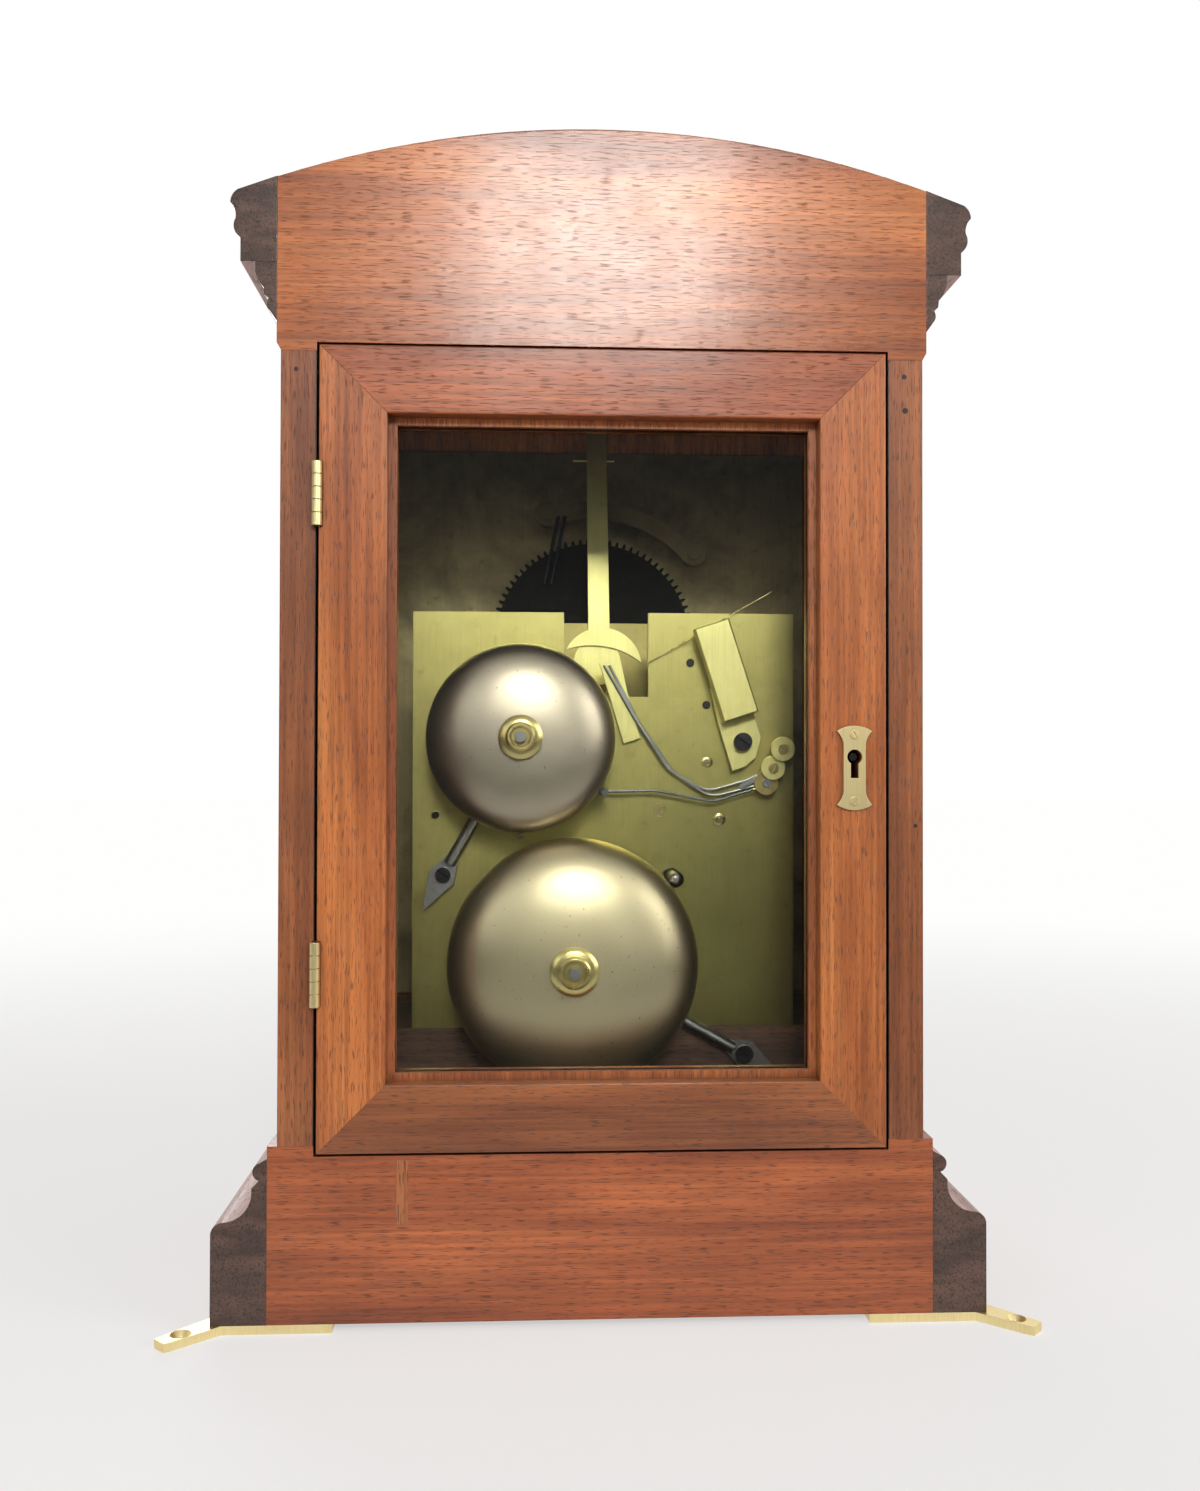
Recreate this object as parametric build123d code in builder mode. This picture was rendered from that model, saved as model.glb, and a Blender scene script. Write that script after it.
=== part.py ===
from build123d import *
import math
import os

# A ships bell clock in an arch-topped case, seen from the back in the photograph.
# Millimetres. +Z is up, the dial faces -Y and the glazed back door faces +Y.
# The origin is on the floor, under the middle of the case.

os.makedirs("parts", exist_ok=True)

# Driving dimensions of the case
case_height = 480.0
case_depth = 196.0
carcass_width = 258.0
side_board_thick = 14.2
front_board_thick = 12.0
back_board_thick = 14.0
bottom_board_thick = 12.0
roof_thick = 8.0
arch_radius = 401.0
base_board_lap = 3.9
base_board_height = 70.0
head_board_lap = 1.7
head_board_height = 91.4
mould_overhang = 25.8
plinth_height = 36.0
base_mould_height = 67.0
crown_bottom_below_apex = 56.3
bed_mould_height = 24.0
fascia_projection = 16.1
nose_projection = 20.2
bed_projection = 10.2

# Hold-down brackets
bracket_thick = 3.5
bracket_arm_width = 13.5
bracket_hole_out = 9.5
bracket_hole_behind = 6.6
bracket_hole_radius = 2.5
bracket_sink_radius = 4.2
bracket_end = 8.8
bracket_leg_length = 41.0
bracket_leg_width = 16.0

# Back door
door_lap_low = 3.2
door_lap_high = 2.3
door_member = 27.0
door_thick = 18.0
door_proud = 1.0
door_gap = 1.0
door_lip = 3.0
door_lip_thick = 3.5
door_glass_thick = 2.2
bead_width = 3.2
bead_thick = 5.0
arris = 0.7

# Door hinges
hinge_height = 25.4
hinge_barrel_radius = 2.1
hinge_pin_radius = 1.0
hinge_running = 0.05
hinge_leaf_thick = 1.2
hinge_leaf_width = 15.0
hinge_from_top = 59.7
hinge_from_bottom = 70.9
hinge_axis_proud = 1.1
hinge_knuckles = 5
knuckle_gap = 0.12
barrel_clearance = 0.35

# Lock
lock_inset = 13.2
keyhole_rise = 157.1
keyhole_radius = 3.0
keyhole_slot_width = 3.1
keyhole_slot_drop = 8.5
lock_pin_radius = 1.55
escutcheon_height = 34.0
escutcheon_waist = 9.0
escutcheon_end_width = 14.4
escutcheon_thick = 1.2
escutcheon_drop = 4.4
lock_case_width = 22.0
lock_case_height = 44.0
lock_case_thick = 10.5
bolt_width = 9.0
bolt_thick = 4.0
bolt_length = 18.0
bolt_travel = 7.0
bolt_clearance = 0.3

# Dial and bezel
dial_z = 232.0
dial_radius = 98.0
dial_thick = 1.8
dial_gap = 0.5
dial_plate_gap = 3.8
dial_plate_rise = 152.0
dial_plate_drop = 124.0
dial_plate_thick = 2.0
bezel_radius = 108.0
bezel_inner_radius = 93.0
bezel_depth = 11.0
bezel_gap = 0.4
bezel_glass_thick = 2.0
bezel_glass_rise = 6.0
bezel_glass_gap = 0.3
bezel_hinge_radius = 2.4
bezel_hinge_height = 30.0
bezel_hinge_pin_radius = 1.1
bezel_hinge_gap = 1.0

# Movement frame
plate_left = -89.1
plate_right = 82.1
plate_drop = 125.2
plate_rise = 60.4
plate_thick = 3.0
plate_y = 30.0
plate_spacing = 44.0
notch_left = -23.2
notch_right = 14.7
notch_rise = 22.6
pillar_radius = 5.0
pillar_inset = 11.0
tenon_radius = 2.5
running = 0.05
seat_thick = 12.0
seat_apron_thick = 12.0
seat_apron_drop = 32.0
seat_depth = 84.0

# Bells
large_bell_x = 11.0
large_bell_drop = 94.4
large_bell_radius = 54.6
large_bell_rise = 26.0
small_bell_x = 33.8
small_bell_above = 3.7
small_bell_radius = 41.2
small_bell_rise = 22.0
bell_wall = 2.2
bell_stand_off = 15.0
bell_hole_radius = 2.6
bell_stud_radius = 2.3
bell_boss_radius = 6.5
stand_rod_radius = 2.6
foot_length = 27.0
foot_width = 12.5
foot_thick = 3.0
foot_screw_from_tip = 18.5
large_stand_angle = 209.0
large_foot_distance = 88.3
small_stand_angle = -60.4
small_foot_distance = 69.6
large_nut_radius = 10.3
small_nut_radius = 9.3
nut_height = 6.0
stud_end = 1.6

# Trains: teeth and modules
count_teeth = 84
count_pinion = 7
great_teeth = 72
centre_pinion = 8
centre_teeth = 64
third_pinion = 8
third_teeth = 60
escape_pinion = 8
escape_teeth = 15
cannon_teeth = 12
minute_teeth = 36
minute_pinion = 10
hour_teeth = 40
strike_teeth = 48
great_module = 1.0
centre_module = 0.8
third_module = 0.7
cannon_module = 0.7
strike_module = 1.0
arbor_radius = 1.5
centre_arbor_radius = 2.5
pivot_radius = 1.0
barrel_radius = 20.0
count_wheel_x = -1.0
count_wheel_rise = 53.0
wheel_thick = 2.5
winding_square = 4.6
winding_square_stand = 2.2

# Parts that follow from the driving dimensions
half_depth = case_depth / 2
half_carcass = carcass_width / 2
base_board_width = carcass_width + 2 * base_board_lap
head_board_width = carcass_width + 2 * head_board_lap
floor_z = bracket_thick
head_base = case_height - head_board_height
bracket_hole_x = half_carcass + mould_overhang + bracket_hole_out
bracket_hole_y = half_depth + bracket_hole_behind
carcass_front = mould_overhang - half_depth
front_inner = carcass_front + front_board_thick
head_front = half_depth - back_board_thick
inner_half = half_carcass - side_board_thick
arch_centre = case_height - arch_radius
crown_bottom = case_height - crown_bottom_below_apex
bed_bottom = crown_bottom - bed_mould_height
door_face = half_depth + door_proud
door_back = door_face - door_thick
door_width = 2 * (inner_half - door_gap)
door_bottom = floor_z + base_board_height - door_lap_low
door_top = head_base + door_lap_high
door_height = door_top - door_bottom
hinge_upper_z = door_top - hinge_from_top
hinge_lower_z = door_bottom + hinge_from_bottom
lock_x = lock_inset - door_width / 2
keyhole_z = door_bottom + keyhole_rise
escutcheon_z = keyhole_z - escutcheon_drop
hinge_axis_x = (inner_half + door_width / 2) / 2
hinge_axis_y = door_face + hinge_axis_proud
plate_front_face = plate_y - plate_thick
front_plate_back = plate_front_face - plate_spacing
front_plate_face = front_plate_back - plate_thick
dial_plate_back = front_inner + dial_plate_thick
dial_plate_width = 2 * (inner_half - dial_plate_gap)
dial_plate_top = dial_z + dial_plate_rise
dial_plate_bottom = dial_z - dial_plate_drop
plate_bottom = dial_z - plate_drop
plate_top = dial_z + plate_rise
notch_bottom = dial_z + notch_rise
large_bell_z = dial_z - large_bell_drop
small_bell_z = dial_z + small_bell_above
bell_rim_y = plate_y + bell_stand_off
count_wheel_z = dial_z + count_wheel_rise


def elevation(y):
    return Plane(origin=(0, y, 0), x_dir=(1, 0, 0), z_dir=(0, -1, 0))


def elevation_at(x, y, z, turn=0.0):
    across = (math.cos(math.radians(turn)), 0, math.sin(math.radians(turn)))
    return Plane(origin=(x, y, z), x_dir=across, z_dir=(0, -1, 0))


def cross_section(x):
    return Plane(origin=(x, 0, 0), x_dir=(0, 1, 0), z_dir=(1, 0, 0))


def plan(z):
    return Plane(origin=(0, 0, z), x_dir=(1, 0, 0), z_dir=(0, 0, 1))


def arch_height(x, radius):
    return arch_centre + math.sqrt(radius**2 - x**2)


def polar(x, z, distance, degrees):
    turn = math.radians(degrees)
    return x + distance * math.cos(turn), z + distance * math.sin(turn)


# Teeth: a wheel tooth and a pinion leaf, as shares of the module and of the pitch
wheel_form = (0.95, 1.15, 0.07, 0.19, 0.235)
pinion_form = (0.70, 1.30, 0.06, 0.165, 0.19)


def tooth_points(teeth, module, form, phase):
    above, below, tip, middle, root = form
    pitch_radius = teeth * module / 2
    pitch = math.tau / teeth
    steps = (
        (-below, -root),
        (0, -middle),
        (above, -tip),
        (above, tip),
        (0, middle),
        (-below, root),
    )
    points = []
    for tooth in range(teeth):
        for out, share in steps:
            radius = pitch_radius + out * module
            turn = math.radians(phase) + (tooth + share) * pitch
            points.append((radius * math.cos(turn), radius * math.sin(turn)))
    return points


def gap_phase(degrees, teeth):
    return degrees + 180 + 180 / teeth


# Places of the arbors
great_distance = (great_teeth + centre_pinion) * great_module / 2
third_distance = (centre_teeth + third_pinion) * centre_module / 2
escape_distance = (third_teeth + escape_pinion) * third_module / 2
motion_distance = (cannon_teeth + minute_teeth) * cannon_module / 2
hour_module = 2 * motion_distance / (minute_pinion + hour_teeth)
count_distance = math.hypot(count_wheel_x, count_wheel_z - dial_z)
count_module = 2 * count_distance / (count_teeth + count_pinion)
count_angle = math.degrees(math.atan2(count_wheel_z - dial_z, count_wheel_x))
going_angle = -45.0
third_angle = 28.0
escape_angle = 75.0
minute_angle = -125.0
going_x, going_z = polar(0, dial_z, great_distance, going_angle)
strike_x, strike_z = -going_x, going_z
third_x, third_z = polar(0, dial_z, third_distance, third_angle)
escape_x, escape_z = polar(third_x, third_z, escape_distance, escape_angle)
minute_x, minute_z = polar(0, dial_z, motion_distance, minute_angle)
balance_x = 56.0
balance_z = dial_z + 32.0
balance_radius = 15.0
large_hammer_x = -55.5
large_hammer_z = dial_z - 32.3
small_hammer_x = -75.9
small_hammer_z = dial_z - 15.9

# Side boards, from the base to the roof, notched for the head board and the base board
for name, side in (("side_board_left", -1), ("side_board_right", 1)):
    with BuildPart() as side_board:
        with BuildSketch(elevation(half_depth)):
            with BuildLine():
                outer_x = side * half_carcass
                inner_x = side * inner_half
                roof_under = arch_radius - roof_thick
                middle_x = (outer_x + inner_x) / 2
                outer_top = (outer_x, arch_height(outer_x, roof_under))
                middle_top = (middle_x, arch_height(middle_x, roof_under))
                inner_top = (inner_x, arch_height(inner_x, roof_under))
                Polyline(inner_top, (inner_x, floor_z), (outer_x, floor_z), outer_top)
                ThreePointArc(outer_top, middle_top, inner_top)
            make_face()
        extrude(amount=half_depth - front_inner)
        board_x = side * (half_carcass + inner_half) / 2
        with BuildSketch(cross_section(board_x)):
            base_top = floor_z + base_board_height
            with Locations((head_front, floor_z)):
                Rectangle(
                    back_board_thick, base_top - floor_z, align=(Align.MIN, Align.MIN)
                )
            with Locations((head_front, head_base)):
                Rectangle(
                    back_board_thick, head_board_height, align=(Align.MIN, Align.MIN)
                )
        extrude(amount=side_board_thick, both=True, mode=Mode.SUBTRACT)
        if side > 0:
            for hinge_z in (hinge_lower_z, hinge_upper_z):
                with BuildSketch(plan(hinge_z - hinge_height / 2 - barrel_clearance)):
                    with Locations((hinge_axis_x, hinge_axis_y)):
                        Circle(hinge_barrel_radius + barrel_clearance)
                    with Locations((inner_half, half_depth)):
                        Rectangle(
                            hinge_leaf_thick - 0.3,
                            hinge_leaf_width,
                            align=(Align.MIN, Align.MAX),
                        )
                extrude(amount=hinge_height + 2 * barrel_clearance, mode=Mode.SUBTRACT)
        if side < 0:
            mortise = bolt_travel + 2 * bolt_clearance
            with BuildSketch(elevation(door_back - lock_case_thick / 2 + bolt_thick / 2 + bolt_clearance)):
                with Locations((inner_x, keyhole_z)):
                    Rectangle(
                        mortise,
                        bolt_width + 2 * bolt_clearance,
                        align=(Align.MAX, Align.CENTER),
                    )
            extrude(amount=bolt_thick + 2 * bolt_clearance, mode=Mode.SUBTRACT)
    side_board.part.label = name
    export_step(side_board.part, f"parts/{name}.step")


# Front board with its round opening for the dial
with BuildPart() as front_board:
    with BuildSketch(elevation(front_inner)):
        with BuildLine():
            under_edge = arch_height(half_carcass, arch_radius - roof_thick)
            Polyline(
                (-half_carcass, under_edge),
                (-half_carcass, floor_z),
                (half_carcass, floor_z),
                (half_carcass, under_edge),
            )
            ThreePointArc(
                (half_carcass, under_edge),
                (0, case_height - roof_thick),
                (-half_carcass, under_edge),
            )
        make_face()
        with Locations((0, dial_z)):
            Circle(dial_radius + dial_gap, mode=Mode.SUBTRACT)
    extrude(amount=front_board_thick)
front_board.part.label = "front_board"
export_step(front_board.part, "parts/front_board.step")


def door_opening_cut():
    with BuildSketch(elevation(half_depth)) as opening:
        with Locations((0, door_bottom - door_gap)):
            Rectangle(
                2 * inner_half, door_height + 2 * door_gap, align=(Align.CENTER, Align.MIN)
            )
    extrude(opening.sketch, amount=back_board_thick, mode=Mode.SUBTRACT)


# Head board with the arched top
with BuildPart() as back_head_board:
    with BuildSketch(elevation(half_depth)):
        with BuildLine():
            head_half = head_board_width / 2
            head_edge = arch_height(head_half, arch_radius)
            Polyline(
                (-head_half, head_edge),
                (-head_half, head_base + 3.0),
                (-half_carcass, head_base),
                (half_carcass, head_base),
                (head_half, head_base + 3.0),
                (head_half, head_edge),
            )
            ThreePointArc((head_half, head_edge), (0, case_height), (-head_half, head_edge))
        make_face()
    extrude(amount=back_board_thick)
    door_opening_cut()
    fillet(back_head_board.edges().filter_by(GeomType.CIRCLE).sort_by(Axis.Y)[-1], arris)
back_head_board.part.label = "back_head_board"
export_step(back_head_board.part, "parts/back_head_board.step")

# Base board
with BuildPart() as back_base_board:
    with BuildSketch(elevation(half_depth)):
        with Locations((0, floor_z)):
            Rectangle(base_board_width, base_board_height, align=(Align.CENTER, Align.MIN))
    extrude(amount=back_board_thick)
    door_opening_cut()
back_base_board.part.label = "back_base_board"
export_step(back_base_board.part, "parts/back_base_board.step")

# Bottom board, between the side boards
with BuildPart() as bottom_board:
    with BuildSketch(plan(floor_z)):
        with Locations((0, (front_inner + head_front) / 2)):
            Rectangle(2 * inner_half, head_front - front_inner)
    extrude(amount=bottom_board_thick)
bottom_board.part.label = "bottom_board"
export_step(bottom_board.part, "parts/bottom_board.step")

# Curved roof panel over the side boards
with BuildPart() as roof_panel:
    with BuildSketch(elevation(head_front)):
        with BuildLine():
            roof_edge = arch_height(half_carcass, arch_radius)
            under_edge = arch_height(half_carcass, arch_radius - roof_thick)
            ThreePointArc((-half_carcass, roof_edge), (0, case_height), (half_carcass, roof_edge))
            Line((half_carcass, roof_edge), (half_carcass, under_edge))
            ThreePointArc(
                (half_carcass, under_edge),
                (0, case_height - roof_thick),
                (-half_carcass, under_edge),
            )
            Line((-half_carcass, under_edge), (-half_carcass, roof_edge))
        make_face()
    extrude(amount=head_front - carcass_front)
roof_panel.part.label = "roof_panel"
export_step(roof_panel.part, "parts/roof_panel.step")


# Mouldings: each profile gives how far it stands out from the carcass, and its height
def base_profile():
    plinth = mould_overhang
    top = floor_z + plinth_height
    crest = floor_z + base_mould_height
    Line((0, floor_z), (plinth, floor_z))
    Line((plinth, floor_z), (plinth, top))
    ThreePointArc((plinth, top), (plinth - 1.6, top + 3.1), (plinth - 5.0, top + 4.4))
    ThreePointArc((plinth - 5.0, top + 4.4), (plinth - 12.6, top + 7.8), (plinth - 15.9, top + 15.4))
    Line((plinth - 15.9, top + 15.4), (plinth - 15.9, top + 17.6))
    Line((plinth - 15.9, top + 17.6), (plinth - 18.8, top + 20.6))
    ThreePointArc((plinth - 18.8, top + 20.6), (plinth - 16.3, top + 23.6), (plinth - 18.8, top + 27.4))
    Line((plinth - 18.8, top + 27.4), (plinth - 22.6, crest - 1.4))
    Line((plinth - 22.6, crest - 1.4), (0, crest))
    Line((0, crest), (0, floor_z))


def fascia_profile():
    face = fascia_projection
    nose = nose_projection
    low = crown_bottom
    edge = arch_height(half_carcass, arch_radius)
    crest = arch_height(half_carcass + face, arch_radius)
    Line((0, low), (face, low))
    Line((face, low), (face, low + 9.4))
    ThreePointArc((face, low + 9.4), (face + 2.6, low + 13.0), (face + 2.0, low + 17.0))
    ThreePointArc((face + 2.0, low + 17.0), (face + 2.2, low + 20.4), (nose, low + 23.4))
    ThreePointArc((nose, low + 23.4), (nose - 0.6, low + 26.0), (face + 1.2, crest - 0.5))
    Line((face + 1.2, crest - 0.5), (0, edge))
    Line((0, edge), (0, low))


def bed_profile():
    out = bed_projection
    top = crown_bottom
    Line((0, top), (out, top))
    Line((out, top), (out, top - 4.2))
    ThreePointArc((out, top - 4.2), (out - 1.4, top - 7.6), (out - 3.3, top - 10.4))
    Line((out - 3.3, top - 10.4), (out - 3.6, top - 13.2))
    Line((out - 3.6, top - 13.2), (out - 5.4, top - 14.6))
    ThreePointArc((out - 5.4, top - 14.6), (out - 4.6, top - 16.9), (out - 5.6, top - 19.4))
    Line((out - 5.6, top - 19.4), (out - 8.4, bed_bottom + 0.6))
    Line((out - 8.4, bed_bottom + 0.6), (0, bed_bottom))
    Line((0, bed_bottom), (0, top))


def side_profile_plane(side):
    return Plane(
        origin=(side * half_carcass, half_depth, 0), x_dir=(side, 0, 0), z_dir=(0, -side, 0)
    )


def run_to_front(side, profile):
    with BuildSketch(side_profile_plane(side)) as profile_face:
        with BuildLine():
            profile()
        make_face()
    extrude(profile_face.sketch, amount=side * case_depth)


def keep_behind_mitre(side):
    """Cut the front end of a side moulding on the 45 degree mitre."""
    corner_x = side * half_carcass
    reach = 2 * mould_overhang
    with BuildSketch(plan(-reach)) as waste:
        with BuildLine():
            Polyline(
                (corner_x, carcass_front),
                (corner_x + side * reach, carcass_front - reach),
                (corner_x - side * reach, carcass_front - reach),
                (corner_x - side * reach, carcass_front),
                close=True,
            )
        make_face()
    extrude(waste.sketch, amount=case_height + 2 * reach, mode=Mode.SUBTRACT)


def back_board_rebate(side, board_half, low, high):
    with BuildSketch(plan(low)) as rebate:
        with Locations((side * board_half, half_depth)):
            Rectangle(
                board_half, back_board_thick, align=(Align.MAX if side > 0 else Align.MIN, Align.MAX)
            )
    extrude(rebate.sketch, amount=high - low, mode=Mode.SUBTRACT)


def front_moulding(profile):
    """A moulding across the front, mitred at both ends."""
    reach = 2 * mould_overhang
    with BuildSketch(
        Plane(origin=(-half_carcass - reach, carcass_front, 0), x_dir=(0, -1, 0), z_dir=(-1, 0, 0))
    ) as profile_face:
        with BuildLine():
            profile()
        make_face()
    extrude(profile_face.sketch, amount=-(carcass_width + 2 * reach))
    mitre_front()


def mitre_front():
    reach = 2 * mould_overhang
    for side in (-1, 1):
        corner_x = side * half_carcass
        with BuildSketch(plan(-reach)) as waste:
            with BuildLine():
                Polyline(
                    (corner_x, carcass_front),
                    (corner_x + side * reach, carcass_front - reach),
                    (corner_x + 2 * side * reach, carcass_front - reach),
                    (corner_x + 2 * side * reach, carcass_front + reach),
                    (corner_x, carcass_front + reach),
                    close=True,
                )
            make_face()
        extrude(waste.sketch, amount=case_height + 2 * reach, mode=Mode.SUBTRACT)


base_top = floor_z + base_mould_height

# Base moulding, mitred round the front
with BuildPart() as base_mould_sides:
    for side in (-1, 1):
        run_to_front(side, base_profile)
        keep_behind_mitre(side)
        back_board_rebate(side, base_board_width / 2, floor_z, floor_z + base_board_height)
base_mould_sides.part.label = "base_mould_sides"
export_step(base_mould_sides.part, "parts/base_mould_sides.step")

with BuildPart() as base_mould_front:
    front_moulding(base_profile)
base_mould_front.part.label = "base_mould_front"
export_step(base_mould_front.part, "parts/base_mould_front.step")

# Crown: the side fascias, and the arched gable that carries the same nose across the front
with BuildPart() as crown_fascias:
    for side in (-1, 1):
        run_to_front(side, fascia_profile)
        keep_behind_mitre(side)
        back_board_rebate(side, head_board_width / 2, head_base, case_height)
crown_fascias.part.label = "crown_fascias"
export_step(crown_fascias.part, "parts/crown_fascias.step")

with BuildPart() as crown_gable:
    with BuildSketch(elevation(carcass_front)):
        with BuildLine():
            gable_half = half_carcass + fascia_projection
            gable_edge = arch_height(gable_half, arch_radius)
            Polyline(
                (-gable_half, gable_edge),
                (-gable_half, crown_bottom),
                (gable_half, crown_bottom),
                (gable_half, gable_edge),
            )
            ThreePointArc((gable_half, gable_edge), (0, case_height), (-gable_half, gable_edge))
        make_face()
    extrude(amount=fascia_projection)
    with BuildSketch(Plane(origin=(0, carcass_front, arch_centre), x_dir=(0, -1, 0), z_dir=(-1, 0, 0))):
        with BuildLine():
            nose_low = arch_radius - 17.0
            Line((fascia_projection - 1.0, arch_radius), (fascia_projection - 1.0, nose_low))
            Line((fascia_projection - 1.0, nose_low), (fascia_projection, nose_low))
            ThreePointArc(
                (fascia_projection, nose_low),
                (fascia_projection + 2.6, nose_low + 3.6),
                (fascia_projection + 2.0, nose_low + 7.4),
            )
            ThreePointArc(
                (fascia_projection + 2.0, nose_low + 7.4),
                (fascia_projection + 2.2, nose_low + 11.0),
                (nose_projection, nose_low + 13.8),
            )
            ThreePointArc(
                (nose_projection, nose_low + 13.8),
                (nose_projection - 0.6, nose_low + 16.0),
                (fascia_projection + 1.2, arch_radius),
            )
            Line((fascia_projection + 1.2, arch_radius), (fascia_projection - 1.0, arch_radius))
        make_face()
    nose_sweep = math.degrees(math.asin((half_carcass + mould_overhang) / arch_radius))
    arch_axis = Axis((0, carcass_front, arch_centre), (0, 1, 0))
    revolve(axis=arch_axis, revolution_arc=nose_sweep)
    mirror(about=Plane.YZ)
    mitre_front()
crown_gable.part.label = "crown_gable"
export_step(crown_gable.part, "parts/crown_gable.step")

# Bed moulding under the fascia
with BuildPart() as bed_mould_sides:
    for side in (-1, 1):
        run_to_front(side, bed_profile)
        keep_behind_mitre(side)
        back_board_rebate(side, head_board_width / 2, head_base, crown_bottom)
bed_mould_sides.part.label = "bed_mould_sides"
export_step(bed_mould_sides.part, "parts/bed_mould_sides.step")

with BuildPart() as bed_mould_front:
    front_moulding(bed_profile)
bed_mould_front.part.label = "bed_mould_front"
export_step(bed_mould_front.part, "parts/bed_mould_front.step")

# Hold-down brackets, one under each corner, with a countersunk hole in the arm
with BuildPart() as holddown_brackets:
    for side_x, side_y in ((1, 1), (-1, 1), (1, -1), (-1, -1)):
        half_arm = bracket_arm_width / 2
        end_x = bracket_hole_x + bracket_end / math.sqrt(2)
        end_y = bracket_hole_y + bracket_end / math.sqrt(2)
        step = half_arm / math.sqrt(2)
        ease = step * 0.42
        inner_reach = 50.0
        start_x = end_x - inner_reach / math.sqrt(2)
        start_y = end_y - inner_reach / math.sqrt(2)
        leg_edge = half_depth
        leg_start = end_x - (end_y - half_depth) - step * 2
        arm = [
            (start_x + step, start_y - step),
            (end_x + step - ease * 2, end_y - step),
            (end_x + step - ease, end_y - ease),
            (end_x - ease, end_y + step - ease),
            (end_x - step, end_y + step - ease * 2),
            (start_x - step, start_y + step),
        ]
        leg_low = leg_start - bracket_leg_length
        leg = [
            (leg_low, leg_edge),
            (leg_start + step, leg_edge),
            (start_x + 2 * step, leg_edge - bracket_leg_width),
            (leg_low, leg_edge - bracket_leg_width),
        ]
        with BuildSketch(plan(0)):
            for outline in (arm, leg):
                with BuildLine():
                    Polyline(*[(side_x * x, side_y * y) for x, y in outline], close=True)
                make_face()
        extrude(amount=bracket_thick)
    for side_x, side_y in ((1, 1), (-1, 1), (1, -1), (-1, -1)):
        with Locations(Location((side_x * bracket_hole_x, side_y * bracket_hole_y, bracket_thick))):
            CounterSinkHole(
                radius=bracket_hole_radius, counter_sink_radius=bracket_sink_radius, depth=bracket_thick
            )
holddown_brackets.part.label = "holddown_brackets"
export_step(holddown_brackets.part, "parts/holddown_brackets.step")


# Back door: four mitred members, each with a lip for the glass
def member_outline(edge, width):
    half_width = door_width / 2
    low = door_bottom
    high = door_top
    if edge in ("left", "right"):
        sign = -1 if edge == "left" else 1
        return [
            (sign * half_width, low),
            (sign * half_width, high),
            (sign * (half_width - width), high - width),
            (sign * (half_width - width), low + width),
        ]
    level = high if edge == "top" else low
    inward = -width if edge == "top" else width
    return [
        (-half_width, level),
        (half_width, level),
        (half_width - width, level + inward),
        (-half_width + width, level + inward),
    ]


door_members = (
    ("door_hinge_stile", "right"),
    ("door_lock_stile", "left"),
    ("door_top_rail", "top"),
    ("door_bottom_rail", "bottom"),
)
for name, edge in door_members:
    with BuildPart() as member:
        with BuildSketch(elevation(door_face)):
            with BuildLine():
                Polyline(*member_outline(edge, door_member), close=True)
            make_face()
        extrude(amount=door_thick)
        with BuildSketch(elevation(door_back + door_lip_thick)):
            with BuildLine():
                Polyline(*member_outline(edge, door_member + door_lip), close=True)
            make_face()
        extrude(amount=door_lip_thick)
        long_axis = Axis.Z if edge in ("left", "right") else Axis.X
        face_edges = member.edges().filter_by(long_axis).group_by(Axis.Y)[-1]
        fillet(face_edges, arris)
        if edge == "right":
            for hinge_z in (hinge_lower_z, hinge_upper_z):
                with BuildSketch(plan(hinge_z - hinge_height / 2 - barrel_clearance)):
                    with Locations((hinge_axis_x, hinge_axis_y)):
                        Circle(hinge_barrel_radius + barrel_clearance)
                    with Locations((door_width / 2, door_face)):
                        Rectangle(
                            hinge_leaf_thick - 0.3,
                            hinge_leaf_width + door_proud,
                            align=(Align.MAX, Align.MAX),
                        )
                extrude(amount=hinge_height + 2 * barrel_clearance, mode=Mode.SUBTRACT)
        if edge == "left":
            with BuildSketch(elevation(door_face)):
                with Locations((lock_x, keyhole_z)):
                    Circle(keyhole_radius)
                    Rectangle(
                        keyhole_slot_width, keyhole_slot_drop, align=(Align.CENTER, Align.MAX)
                    )
            extrude(amount=door_thick, mode=Mode.SUBTRACT)
    member.part.label = name
    export_step(member.part, f"parts/{name}.step")

sight_half = door_width / 2 - door_member
sight_low = door_bottom + door_member
sight_high = door_top - door_member
glass_y = door_back + door_lip_thick + door_glass_thick

# Door glass, against the lips
with BuildPart() as door_glass:
    with BuildSketch(elevation(glass_y)):
        with Locations((0, sight_low)):
            Rectangle(2 * sight_half, sight_high - sight_low, align=(Align.CENTER, Align.MIN))
    extrude(amount=door_glass_thick)
door_glass.part.label = "door_glass"
export_step(door_glass.part, "parts/door_glass.step")

# Glazing beads, mitred, behind the glass
with BuildPart() as glazing_beads:
    for side in (-1, 1):
        with BuildSketch(elevation(glass_y + bead_thick)):
            with BuildLine():
                Polyline(
                    (side * sight_half, sight_low),
                    (side * sight_half, sight_high),
                    (side * (sight_half - bead_width), sight_high - bead_width),
                    (side * (sight_half - bead_width), sight_low + bead_width),
                    close=True,
                )
            make_face()
        extrude(amount=bead_thick, mode=Mode.ADD)
upright_beads = glazing_beads.part
with BuildPart() as cross_beads:
    for level, inward in ((sight_low, bead_width), (sight_high, -bead_width)):
        with BuildSketch(elevation(glass_y + bead_thick)):
            with BuildLine():
                Polyline(
                    (-sight_half, level),
                    (sight_half, level),
                    (sight_half - bead_width, level + inward),
                    (-sight_half + bead_width, level + inward),
                    close=True,
                )
            make_face()
        extrude(amount=bead_thick)
all_beads = Compound(children=[*upright_beads.solids(), *cross_beads.part.solids()])
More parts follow.
